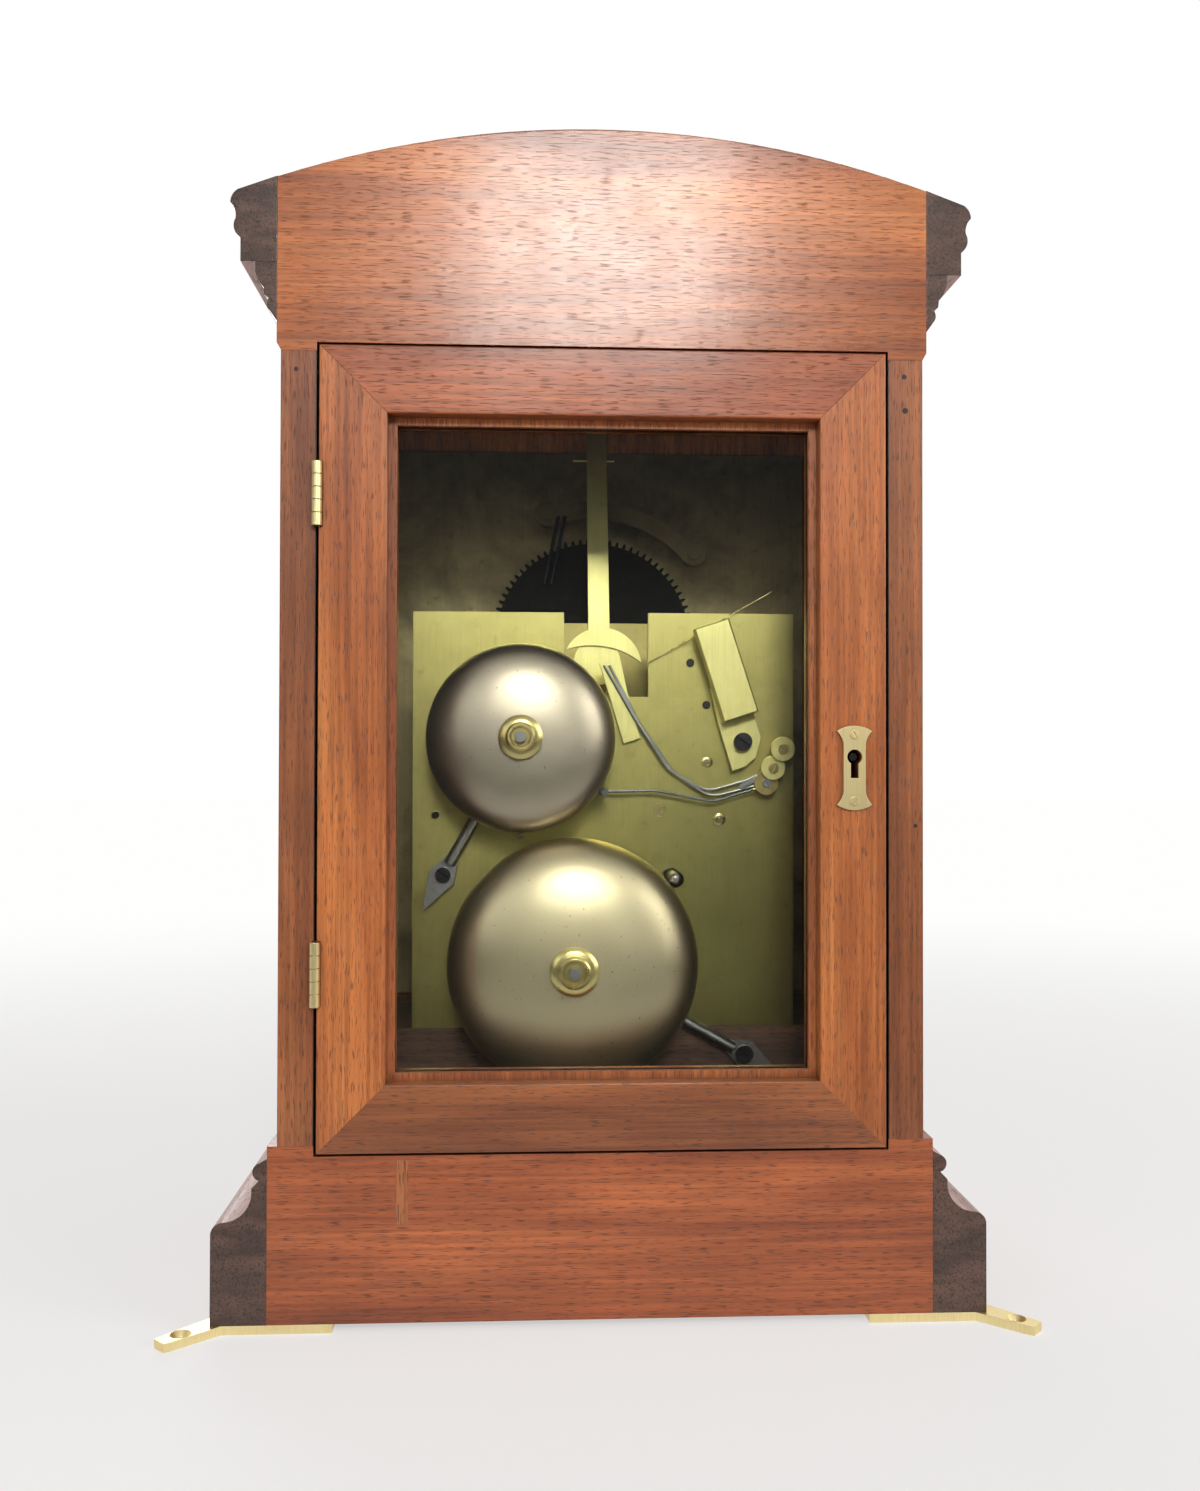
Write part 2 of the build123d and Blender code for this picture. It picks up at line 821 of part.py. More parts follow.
all_beads.label = "glazing_beads"
export_step(all_beads, "parts/glazing_beads.step")

# Door hinges: case leaves carry the pin, door leaves turn on it
knuckle = hinge_height / hinge_knuckles


def hinge_leaf(hinge_z, first, pin):
    case_side = first == 0
    leaf_x = inner_half - 0.3 if case_side else door_width / 2 + 0.3
    sign = 1 if case_side else -1
    leaf_back = half_depth if case_side else door_face
    with BuildSketch(plan(hinge_z - hinge_height / 2)) as outline:
        with Locations((leaf_x, hinge_axis_y - hinge_barrel_radius / 2)):
            Rectangle(
                hinge_leaf_thick,
                hinge_leaf_width + hinge_axis_y - hinge_barrel_radius / 2 - leaf_back - 0.4,
                align=(Align.MIN if sign > 0 else Align.MAX, Align.MAX),
            )
    extrude(outline.sketch, amount=hinge_height)
    with BuildSketch(plan(hinge_z - hinge_height / 2)) as outline:
        with Locations((hinge_axis_x, hinge_axis_y)):
            Circle(hinge_barrel_radius)
    extrude(outline.sketch, amount=hinge_height)
    for index in range(hinge_knuckles):
        if index % 2 != first:
            with BuildSketch(plan(hinge_z - hinge_height / 2 + index * knuckle - knuckle_gap)) as outline:
                with Locations((hinge_axis_x, hinge_axis_y)):
                    Circle(hinge_barrel_radius + barrel_clearance)
            extrude(outline.sketch, amount=knuckle + 2 * knuckle_gap, mode=Mode.SUBTRACT)
    if pin:
        with BuildSketch(plan(hinge_z - hinge_height / 2)) as outline:
            with Locations((hinge_axis_x, hinge_axis_y)):
                Circle(hinge_pin_radius)
        extrude(outline.sketch, amount=hinge_height)
    else:
        with BuildSketch(plan(hinge_z - hinge_height / 2)) as outline:
            with Locations((hinge_axis_x, hinge_axis_y)):
                Circle(hinge_pin_radius + hinge_running)
        extrude(outline.sketch, amount=hinge_height, mode=Mode.SUBTRACT)


with BuildPart() as hinge_case_leaves:
    for hinge_z in (hinge_lower_z, hinge_upper_z):
        hinge_leaf(hinge_z, 0, True)
hinge_case_leaves.part.label = "hinge_case_leaves"
export_step(hinge_case_leaves.part, "parts/hinge_case_leaves.step")

with BuildPart() as hinge_door_leaves:
    for hinge_z in (hinge_lower_z, hinge_upper_z):
        hinge_leaf(hinge_z, 1, False)
hinge_door_leaves.part.label = "hinge_door_leaves"
export_step(hinge_door_leaves.part, "parts/hinge_door_leaves.step")

# Escutcheon: a waisted plate with flared ends and a keyhole
with BuildPart() as escutcheon:
    half_high = escutcheon_height / 2
    half_waist = escutcheon_waist / 2
    half_end = escutcheon_end_width / 2
    flare = 7.6
    with BuildSketch(elevation_at(lock_x, door_face + escutcheon_thick, escutcheon_z)):
        with BuildLine():
            for high in (-1, 1):
                Line((-half_waist, high * (half_high - flare)), (-half_waist, 0))
                Line((half_waist, 0), (half_waist, high * (half_high - flare)))
                ThreePointArc(
                    (half_waist, high * (half_high - flare)),
                    (half_waist + 0.9, high * (half_high - flare + 3.0)),
                    (half_end, high * (half_high - 2.2)),
                )
                ThreePointArc(
                    (half_end, high * (half_high - 2.2)),
                    (0, high * half_high),
                    (-half_end, high * (half_high - 2.2)),
                )
                ThreePointArc(
                    (-half_end, high * (half_high - 2.2)),
                    (-half_waist - 0.9, high * (half_high - flare + 3.0)),
                    (-half_waist, high * (half_high - flare)),
                )
        make_face()
        with Locations((0, keyhole_z - escutcheon_z)):
            Circle(keyhole_radius, mode=Mode.SUBTRACT)
            Rectangle(
                keyhole_slot_width,
                keyhole_slot_drop,
                align=(Align.CENTER, Align.MAX),
                mode=Mode.SUBTRACT,
            )
    extrude(amount=escutcheon_thick)
escutcheon.part.label = "escutcheon"
export_step(escutcheon.part, "parts/escutcheon.step")

# Lock: a box on the inside of the lock stile, with the key pin and a sliding bolt
lock_low = keyhole_z - lock_case_height / 2
lock_outer_x = -door_width / 2 + 1.8
lock_mid_y = door_back - lock_case_thick / 2
with BuildPart() as lock_case:
    with BuildSketch(elevation(door_back)):
        with Locations((lock_outer_x, keyhole_z)):
            Rectangle(lock_case_width + 1.8, lock_case_height, align=(Align.MIN, Align.CENTER))
    extrude(amount=lock_case_thick)
    with BuildSketch(elevation(lock_mid_y + bolt_thick / 2 + bolt_clearance)):
        with Locations((lock_outer_x, keyhole_z)):
            Rectangle(
                bolt_length + 2.0,
                bolt_width + 2 * bolt_clearance,
                align=(Align.MIN, Align.CENTER),
            )
    extrude(amount=bolt_thick + 2 * bolt_clearance, mode=Mode.SUBTRACT)
    with BuildSketch(elevation(door_face - 1.5)):
        with Locations((lock_x, keyhole_z)):
            Circle(lock_pin_radius)
    extrude(amount=door_thick)
lock_case.part.label = "lock_case"
export_step(lock_case.part, "parts/lock_case.step")

with BuildPart() as lock_bolt:
    with BuildSketch(elevation(lock_mid_y + bolt_thick / 2)):
        with Locations((lock_outer_x + 0.2, keyhole_z)):
            Rectangle(bolt_length, bolt_width, align=(Align.MIN, Align.CENTER))
    extrude(amount=bolt_thick)
lock_bolt.part.label = "lock_bolt"
export_step(lock_bolt.part, "parts/lock_bolt.step")

# Bezel with its domed glass, hinged on the right of the dial
bezel_back = carcass_front - bezel_gap
bezel_front = bezel_back - bezel_depth
bezel_axis_x = bezel_radius + bezel_hinge_gap + bezel_hinge_radius
bezel_axis_y = bezel_back - bezel_depth / 2
bezel_knuckle = bezel_hinge_height / 3
with BuildPart() as bezel_ring:
    with BuildSketch(Plane(origin=(0, 0, dial_z), x_dir=(1, 0, 0), z_dir=(0, 0, 1))):
        with BuildLine():
            seat_radius = bezel_inner_radius + 4.0
            Polyline(
                (bezel_radius, bezel_back),
                (bezel_radius, bezel_back - 3.0),
            )
            ThreePointArc(
                (bezel_radius, bezel_back - 3.0),
                (bezel_radius - 4.0, bezel_front + 1.6),
                (bezel_radius - 9.0, bezel_front),
            )
            Polyline(
                (bezel_radius - 9.0, bezel_front),
                (bezel_inner_radius, bezel_front + 4.0),
                (bezel_inner_radius, bezel_front + 5.5),
                (seat_radius, bezel_front + 5.5),
                (seat_radius, bezel_back),
                (bezel_radius, bezel_back),
            )
        make_face()
    revolve(axis=Axis((0, 0, dial_z), (0, 1, 0)))
    with BuildSketch(plan(dial_z - bezel_knuckle / 2 + knuckle_gap)):
        with Locations((bezel_axis_x, bezel_axis_y)):
            Circle(bezel_hinge_radius)
        with Locations((bezel_axis_x, bezel_axis_y)):
            Rectangle(
                bezel_hinge_radius + bezel_hinge_gap + 4.0, 2.4, align=(Align.MAX, Align.CENTER)
            )
    extrude(amount=bezel_knuckle - 2 * knuckle_gap)
    with BuildSketch(plan(dial_z - bezel_knuckle)):
        with Locations((bezel_axis_x, bezel_axis_y)):
            Circle(bezel_hinge_pin_radius + hinge_running)
    extrude(amount=2 * bezel_knuckle, mode=Mode.SUBTRACT)
bezel_ring.part.label = "bezel_ring"
export_step(bezel_ring.part, "parts/bezel_ring.step")

with BuildPart() as bezel_glass:
    with BuildSketch(Plane(origin=(0, 0, dial_z), x_dir=(1, 0, 0), z_dir=(0, 0, 1))):
        with BuildLine():
            glass_radius = bezel_inner_radius + 4.0 - bezel_glass_gap
            glass_face = bezel_front + 5.5
            lens_radius = bezel_inner_radius - 1.0
            lens_curve = (lens_radius**2 + bezel_glass_rise**2) / (2 * bezel_glass_rise)
            half_way = lens_radius / 2
            sag = lens_curve - math.sqrt(lens_curve**2 - half_way**2)
            apex = glass_face - bezel_glass_rise
            ThreePointArc((0, apex), (half_way, apex + sag), (lens_radius, glass_face))
            Polyline(
                (lens_radius, glass_face),
                (glass_radius, glass_face),
                (glass_radius, glass_face + bezel_glass_thick),
                (lens_radius, glass_face + bezel_glass_thick),
            )
            ThreePointArc(
                (lens_radius, glass_face + bezel_glass_thick),
                (half_way, apex + sag + bezel_glass_thick),
                (0, apex + bezel_glass_thick),
            )
            Line((0, apex + bezel_glass_thick), (0, apex))
        make_face()
    revolve(axis=Axis((0, 0, dial_z), (0, 1, 0)))
bezel_glass.part.label = "bezel_glass"
export_step(bezel_glass.part, "parts/bezel_glass.step")

with BuildPart() as bezel_hinge:
    for end in (-1, 1):
        low = dial_z + end * bezel_knuckle - bezel_knuckle / 2
        with BuildSketch(plan(low)):
            with Locations((bezel_axis_x, bezel_axis_y)):
                Circle(bezel_hinge_radius)
            with Locations((bezel_axis_x, carcass_front)):
                Rectangle(2.4, carcass_front - bezel_axis_y, align=(Align.CENTER, Align.MAX))
        extrude(amount=bezel_knuckle)
    with BuildSketch(plan(dial_z - bezel_hinge_height / 2)):
        with Locations((bezel_axis_x + 3.0, carcass_front)):
            Rectangle(12.0, 1.4, align=(Align.CENTER, Align.MAX))
        with Locations((bezel_axis_x, bezel_axis_y)):
            Circle(bezel_hinge_pin_radius)
    extrude(amount=bezel_hinge_height)
    with BuildSketch(plan(dial_z - bezel_knuckle / 2)):
        with Locations((bezel_axis_x - 3.0, carcass_front)):
            Rectangle(6.0, 4.0, align=(Align.CENTER, Align.CENTER))
    extrude(amount=bezel_knuckle, mode=Mode.SUBTRACT)
bezel_hinge.part.label = "bezel_hinge"
export_step(bezel_hinge.part, "parts/bezel_hinge.step")

# Dial plate behind the front board, and the dial disc in the opening
hour_pipe_radius = 4.3
centre_hole_radius = 5.2
winding_hole_radius = 4.6


def dial_holes():
    with Locations((0, dial_z)):
        Circle(centre_hole_radius, mode=Mode.SUBTRACT)
    with Locations((going_x, going_z), (strike_x, strike_z)):
        Circle(winding_hole_radius, mode=Mode.SUBTRACT)


with BuildPart() as dial_plate:
    with BuildSketch(elevation(dial_plate_back)):
        with Locations((0, dial_plate_bottom)):
            Rectangle(
                dial_plate_width, dial_plate_top - dial_plate_bottom, align=(Align.CENTER, Align.MIN)
            )
        dial_holes()
    extrude(amount=dial_plate_thick)
dial_plate.part.label = "dial_plate"
export_step(dial_plate.part, "parts/dial_plate.step")

with BuildPart() as dial_disc:
    with BuildSketch(elevation(front_inner)):
        with Locations((0, dial_z)):
            Circle(dial_radius)
        dial_holes()
    extrude(amount=dial_thick)
dial_disc.part.label = "dial_disc"
export_step(dial_disc.part, "parts/dial_disc.step")

# Movement plates: the back plate has five riveted pillars and a notch at the top
pillars = [
    (plate_left + pillar_inset, plate_bottom + pillar_inset),
    (plate_right - pillar_inset, plate_bottom + pillar_inset),
    (plate_left + pillar_inset, plate_top - pillar_inset),
    (plate_right - pillar_inset, plate_top - pillar_inset),
    ((plate_left + plate_right) / 2, plate_bottom + pillar_inset),
]
arbors = [
    (third_x, third_z, pivot_radius),
    (escape_x, escape_z, pivot_radius),
    (balance_x, balance_z, pivot_radius),
    (large_hammer_x, large_hammer_z, pivot_radius),
    (going_x, going_z, 3.0),
    (strike_x, strike_z, 3.0),
]
large_post_x = -33.8
large_post_z = dial_z - 57.8
large_post_radius = 2.6
hammer_slot_radius = large_post_radius + 1.0


def plate_outline():
    plate_mid_x = (plate_left + plate_right) / 2
    with Locations((plate_mid_x, plate_bottom)):
        Rectangle(
            plate_right - plate_left, plate_top - plate_bottom, align=(Align.CENTER, Align.MIN)
        )
    for x, z, radius in arbors:
        with Locations((x, z)):
            Circle(radius + running, mode=Mode.SUBTRACT)


with BuildPart() as back_plate:
    with BuildSketch(elevation(plate_y)):
        plate_outline()
        with Locations((notch_left, notch_bottom)):
            Rectangle(
                notch_right - notch_left,
                plate_top - notch_bottom,
                align=(Align.MIN, Align.MIN),
                mode=Mode.SUBTRACT,
            )
        with Locations((0, dial_z)):
            Circle(pivot_radius + running, mode=Mode.SUBTRACT)
        with Locations((large_post_x - 0.9, large_post_z - 0.8)):
            SlotCenterToCenter(3.0, 2 * hammer_slot_radius, rotation=40.5, mode=Mode.SUBTRACT)
    extrude(amount=plate_thick)
    with BuildSketch(elevation(plate_front_face)):
        with Locations(*pillars):
            Circle(pillar_radius)
    extrude(amount=plate_spacing)
    with BuildSketch(elevation(front_plate_back)):
        with Locations(*pillars):
            Circle(tenon_radius)
    extrude(amount=plate_thick + 1.5)
back_plate.part.label = "back_plate"
export_step(back_plate.part, "parts/back_plate.step")

count_stud_radius = 3.0
minute_stud_radius = 1.6
count_wheel_back = front_plate_face - 7.5
cannon_back = front_plate_face - 16.0
hour_wheel_back = front_plate_face - 22.0
with BuildPart() as front_plate:
    with BuildSketch(elevation(front_plate_back)):
        plate_outline()
        with Locations((0, dial_z)):
            Circle(centre_arbor_radius + running, mode=Mode.SUBTRACT)
        with Locations(*pillars):
            Circle(tenon_radius + running, mode=Mode.SUBTRACT)
    extrude(amount=plate_thick)
    with BuildSketch(elevation(front_plate_face)):
        with Locations((count_wheel_x, count_wheel_z)):
            Circle(count_stud_radius + 2.0)
    extrude(amount=front_plate_face - count_wheel_back - 0.2)
    with BuildSketch(elevation(front_plate_face)):
        with Locations((count_wheel_x, count_wheel_z)):
            Circle(count_stud_radius)
    extrude(amount=front_plate_face - count_wheel_back + wheel_thick + 1.5)
    with BuildSketch(elevation(front_plate_face)):
        with Locations((minute_x, minute_z)):
            Circle(minute_stud_radius + 1.2)
    extrude(amount=front_plate_face - cannon_back + 0.2)
    with BuildSketch(elevation(front_plate_face)):
        with Locations((minute_x, minute_z)):
            Circle(minute_stud_radius)
    extrude(amount=front_plate_face - hour_wheel_back + wheel_thick + 3.0)
front_plate.part.label = "front_plate"
export_step(front_plate.part, "parts/front_plate.step")

# Seat board under the plates, with its apron flush with the back plate
with BuildPart() as seat_board:
    with BuildSketch(plan(plate_bottom - seat_thick)):
        with Locations((0, plate_y)):
            Rectangle(2 * inner_half, seat_depth, align=(Align.CENTER, Align.MAX))
    extrude(amount=seat_thick)
    with BuildSketch(plan(plate_bottom - seat_apron_drop)):
        with Locations((0, plate_y)):
            Rectangle(2 * inner_half, seat_apron_thick, align=(Align.CENTER, Align.MAX))
    extrude(amount=seat_apron_drop)
seat_board.part.label = "seat_board"
export_step(seat_board.part, "parts/seat_board.step")


# Bells: a domed cup with a thick rim, its mouth towards the plate
def bell_profile(radius, rise):
    top = bell_rim_y + rise
    crown = radius * 0.42
    shoulder = radius * 0.88
    Line((bell_hole_radius, top), (bell_hole_radius, top - bell_wall))
    flat = bell_boss_radius + 1.0
    Line((bell_hole_radius, top - bell_wall), (flat, top - bell_wall))
    Line((flat, top - bell_wall), (crown, top - bell_wall - rise * 0.06))
    ThreePointArc(
        (crown, top - bell_wall - rise * 0.06),
        (shoulder - bell_wall, top - bell_wall - rise * 0.40),
        (radius - bell_wall * 1.3, bell_rim_y),
    )
    Line((radius - bell_wall * 1.3, bell_rim_y), (radius, bell_rim_y))
    Line((radius, bell_rim_y), (radius - 0.1, bell_rim_y + 1.4))
    ThreePointArc(
        (radius - 0.1, bell_rim_y + 1.4),
        (shoulder, top - rise * 0.34),
        (crown, top - rise * 0.045),
    )
    Line((crown, top - rise * 0.045), (bell_hole_radius, top))


bells = (
    ("large_bell", large_bell_x, large_bell_z, large_bell_radius, large_bell_rise),
    ("small_bell", small_bell_x, small_bell_z, small_bell_radius, small_bell_rise),
)
for name, bell_x, bell_z, radius, rise in bells:
    with BuildPart() as bell:
        with BuildSketch(Plane(origin=(bell_x, 0, bell_z), x_dir=(1, 0, 0), z_dir=(0, 0, 1))):
            with BuildLine():
                bell_profile(radius, rise)
            make_face()
        revolve(axis=Axis((bell_x, 0, bell_z), (0, 1, 0)))
    bell.part.label = name
    export_step(bell.part, f"parts/{name}.step")

# Bell stands: an arrow-shaped foot on the plate, a rod to the middle, and a threaded stud
stands = (
    (bells[0], large_stand_angle, large_foot_distance),
    (bells[1], small_stand_angle, small_foot_distance),
)
rod_y = plate_y + stand_rod_radius + 0.4
with BuildPart() as bell_stands:
    for (name, bell_x, bell_z, radius, rise), heading, distance in stands:
        foot_x, foot_z = polar(bell_x, bell_z, distance, heading)
        top = bell_rim_y + rise
        foot_plane = elevation_at(foot_x, plate_y + foot_thick, foot_z, heading)
        from_tip = foot_screw_from_tip
        neck = from_tip - foot_length
        with BuildSketch(foot_plane):
            with BuildLine():
                Polyline(
                    (from_tip, 0),
                    (neck + foot_length * 0.36, foot_width / 2),
                    (neck, 2.6),
                    (neck, -2.6),
                    (neck + foot_length * 0.36, -foot_width / 2),
                    close=True,
                )
            make_face()
        extrude(amount=foot_thick)
        rod_length = distance + neck + 3.0
        rod_start = (bell_x, rod_y, bell_z)
        rod_way = (math.cos(math.radians(heading)), 0, math.sin(math.radians(heading)))
        with BuildSketch(Plane(origin=rod_start, x_dir=(0, 1, 0), z_dir=rod_way)):
            Circle(stand_rod_radius)
        extrude(amount=rod_length)
        with BuildSketch(elevation_at(bell_x, top - bell_wall, bell_z)):
            Circle(bell_boss_radius)
        extrude(amount=6.0)
        with BuildSketch(elevation_at(bell_x, top - bell_wall, bell_z)):
            Circle(bell_stud_radius + 1.7)
        extrude(amount=top - bell_wall - plate_y)
        with BuildSketch(elevation_at(bell_x, top + nut_height + stud_end, bell_z)):
            Circle(bell_stud_radius)
        extrude(amount=nut_height + stud_end + bell_wall + 0.5)
    for (name, bell_x, bell_z, radius, rise), heading, distance in stands:
        foot_x, foot_z = polar(bell_x, bell_z, distance, heading)
        with BuildSketch(elevation_at(foot_x, plate_y + foot_thick, foot_z)):
            Circle(1.8 + running)
        extrude(amount=foot_thick, mode=Mode.SUBTRACT)
bell_stands.part.label = "bell_stands"
export_step(bell_stands.part, "parts/bell_stands.step")

# Bell nuts: turned brass, with a recessed face
with BuildPart() as bell_nuts:
    for (name, bell_x, bell_z, radius, rise), nut_radius in zip(bells, (large_nut_radius, small_nut_radius)):
        base = bell_rim_y + rise
        with BuildSketch(Plane(origin=(bell_x, 0, bell_z), x_dir=(1, 0, 0), z_dir=(0, 0, 1))):
            with BuildLine():
                bore = bell_stud_radius + running
                Polyline(
                    (bore, base),
                    (nut_radius - 1.5, base),
                    (nut_radius, base + 1.0),
                    (nut_radius, base + 2.2),
                    (nut_radius - 1.6, base + 3.2),
                    (nut_radius * 0.66, base + 3.6),
                    (nut_radius * 0.66, base + nut_height - 0.6),
                    (nut_radius * 0.58, base + nut_height),
                    (nut_radius * 0.48, base + nut_height),
                    (nut_radius * 0.42, base + nut_height - 1.8),
                    (bore, base + nut_height - 1.8),
                    close=True,
                )
            make_face()
        revolve(axis=Axis((bell_x, 0, bell_z), (0, 1, 0)))
bell_nuts.part.label = "bell_nuts"
export_step(bell_nuts.part, "parts/bell_nuts.step")

# Let-off lever: an arm on the big screw, with a brass block on its upper end
lever_x = -65.2
lever_z = dial_z + 2.5
lever_tilt = -17.9
arm_back = plate_y + 4.5
arm_front = plate_y + 1.0
arm_thick = arm_back - arm_front
lever_screw_radius = 4.0
lever_shank_radius = 2.2
block_width = 16.0
block_length = 43.4
block_thick = 7.5
block_x = -57.1
block_z = dial_z + 34.0
with BuildPart() as let_off_lever:
    with BuildSketch(elevation_at(0, arm_back, dial_z)):
        with BuildLine():
            Polyline(
                (-50.8, 26.0),
                (-54.6, 9.6),
                (-60.8, -10.6),
                (-66.6, -8.6),
                (-71.4, -4.6),
                (-73.6, 4.4),
                (-70.7, 13.3),
                (-66.6, 27.0),
                close=True,
            )
        make_face()
        with Locations((lever_x, lever_z - dial_z)):
            Circle(lever_shank_radius + running, mode=Mode.SUBTRACT)
    extrude(amount=arm_thick)
let_off_lever.part.label = "let_off_lever"
export_step(let_off_lever.part, "parts/let_off_lever.step")

with BuildPart() as lever_weight:
    with BuildSketch(elevation_at(block_x, arm_back + block_thick, block_z, lever_tilt)):
        Rectangle(block_width, block_length)
    extrude(amount=block_thick)
    chamfer(lever_weight.faces().sort_by(Axis.Y)[-1].edges(), 0.5)
lever_weight.part.label = "lever_weight"
export_step(lever_weight.part, "parts/lever_weight.step")

# Screws of blued and dark steel in the plates: heads with short shanks
small_stand_x, small_stand_z = polar(
    small_bell_x, small_bell_z, small_foot_distance, small_stand_angle
)
large_stand_x, large_stand_z = polar(
    large_bell_x, large_bell_z, large_foot_distance, large_stand_angle
)
strap_x = -3.3
strap_foot_z = dial_z + 58.0
strap_pin_z = dial_z + 139.0
screws = [
    (small_stand_x, plate_y + foot_thick, small_stand_z, 3.4, 2.2, 1.8, foot_thick),
    (large_stand_x, plate_y + foot_thick, large_stand_z, 4.0, 2.4, 1.8, foot_thick),
    (lever_x, arm_back + 0.2, lever_z, lever_screw_radius, 3.2, lever_shank_radius, 4.7),
    (-42.2, plate_y, dial_z + 38.1, 1.8, 0.8, 0.8, 0.0),
    (-49.5, plate_y, dial_z + 19.1, 1.8, 0.8, 0.8, 0.0),
    (71.7, plate_y, dial_z - 30.5, 1.6, 0.8, 0.8, 0.0),
]
with BuildPart() as movement_screws:
    for x, y, z, head_radius, head_height, shank_radius, shank in screws:
        with BuildSketch(elevation_at(x, y + head_height, z)):
            Circle(head_radius)
        extrude(amount=head_height)
        if shank > 0:
            with BuildSketch(elevation_at(x, y, z)):
                Circle(shank_radius)
            extrude(amount=shank)
    for x, y, z, head_radius, head_height, shank_radius, shank in screws[:3]:
        with BuildSketch(elevation_at(x, y + head_height, z, 35.0)):
            Rectangle(2 * head_radius + 1.0, 0.9)
        extrude(amount=1.0, mode=Mode.SUBTRACT)
movement_screws.part.label = "movement_screws"
export_step(movement_screws.part, "parts/movement_screws.step")

# Brass strap from the front plate up to the roof
strap_width_low = 10.4
strap_width_high = 8.6
strap_thick = 2.0
with BuildPart() as steady_strap:
    with BuildSketch(elevation(front_plate_back + strap_thick)):
        with BuildLine():
            strap_top_x = -0.6
            strap_low = plate_top - 8.0
            strap_edge = abs(strap_top_x) + strap_width_high / 2
            roof_meet = arch_height(strap_edge, arch_radius - roof_thick)
            Polyline(
                (strap_x - strap_width_low / 2, strap_low),
                (strap_x + strap_width_low / 2, strap_low),
                (strap_top_x + strap_width_high / 2, roof_meet),
                (strap_top_x - strap_width_high / 2, roof_meet),
                close=True,
            )
        make_face()
    extrude(amount=strap_thick)
    with BuildSketch(plan(roof_meet - strap_thick)):
        with Locations((strap_top_x, front_plate_back)):
            Rectangle(strap_width_high, 16.0, align=(Align.CENTER, Align.MIN))
    extrude(amount=strap_thick)
    with BuildSketch(elevation_at(strap_x - 1.2, front_plate_back + strap_thick + 2.0, strap_foot_z)):
        Circle(2.6)
    extrude(amount=2.0)
    with BuildSketch(Plane(origin=(strap_top_x, front_plate_back + strap_thick / 2, strap_pin_z), z_dir=(1, 0, 0))):
        Circle(0.6)
    extrude(amount=10.0, both=True)
steady_strap.part.label = "steady_strap"
export_step(steady_strap.part, "parts/steady_strap.step")

# Crescent cock on the front plate, seen through the notch
cock_x = -0.8
cock_z = dial_z + 39.2
cock_face = front_plate_back + 35.0
with BuildPart() as upper_cock:
    with BuildSketch(elevation_at(cock_x, cock_face, cock_z)):
        Circle(10.6)
    extrude(amount=2.0)
    with BuildSketch(elevation_at(cock_x, cock_face + 1.2, cock_z)):
        with BuildLine():
            ThreePointArc((14.3, 5.4), (-1.3, 15.6), (-20.2, -0.4))
            ThreePointArc((-20.2, -0.4), (-3.0, 7.0), (14.3, 5.4))
        make_face()
    extrude(amount=2.4)
    with BuildSketch(elevation_at(cock_x, cock_face - 1.0, cock_z)):
        Circle(4.0)
    extrude(amount=cock_face - 1.0 - front_plate_back)
upper_cock.part.label = "upper_cock"
export_step(upper_cock.part, "parts/upper_cock.step")

# Arc bracket round the count wheel, on two posts from the dial plate
arc_inner = 61.0
arc_outer = 69.5
arc_back = front_plate_face - 14.0
arc_thick = 2.0
arc_from = 70.3
arc_to = 138.7
with BuildPart() as arc_bracket:
    with BuildSketch(elevation_at(count_wheel_x, arc_back, count_wheel_z)):
        with BuildLine():
            from_turn = math.radians(arc_from)
            to_turn = math.radians(arc_to)
            mid_turn = (from_turn + to_turn) / 2
            turns = (from_turn, mid_turn, to_turn)
            outer = [(arc_outer * math.cos(t), arc_outer * math.sin(t)) for t in turns]
            inner = [(arc_inner * math.cos(t), arc_inner * math.sin(t)) for t in turns]
            ThreePointArc(*outer)
            Line(outer[2], inner[2])
            ThreePointArc(inner[2], inner[1], inner[0])
            Line(inner[0], outer[0])
        make_face()
        for turn in (from_turn, to_turn):
            middle = (arc_inner + arc_outer) / 2 + 2.0
            with Locations((middle * math.cos(turn), middle * math.sin(turn))):
                Circle(6.0)
    extrude(amount=arc_thick)
    for turn in (arc_from, arc_to):
        post_x, post_z = polar(count_wheel_x, count_wheel_z, (arc_inner + arc_outer) / 2 + 2.0, turn)
        with BuildSketch(elevation_at(post_x, arc_back - arc_thick, post_z)):
            Circle(3.0)
        extrude(amount=arc_back - arc_thick - dial_plate_back)
        with BuildSketch(elevation_at(post_x, arc_back + 2.0, post_z)):
            Circle(3.2)
        extrude(amount=2.0)
arc_bracket.part.label = "arc_bracket"
export_step(arc_bracket.part, "parts/arc_bracket.step")

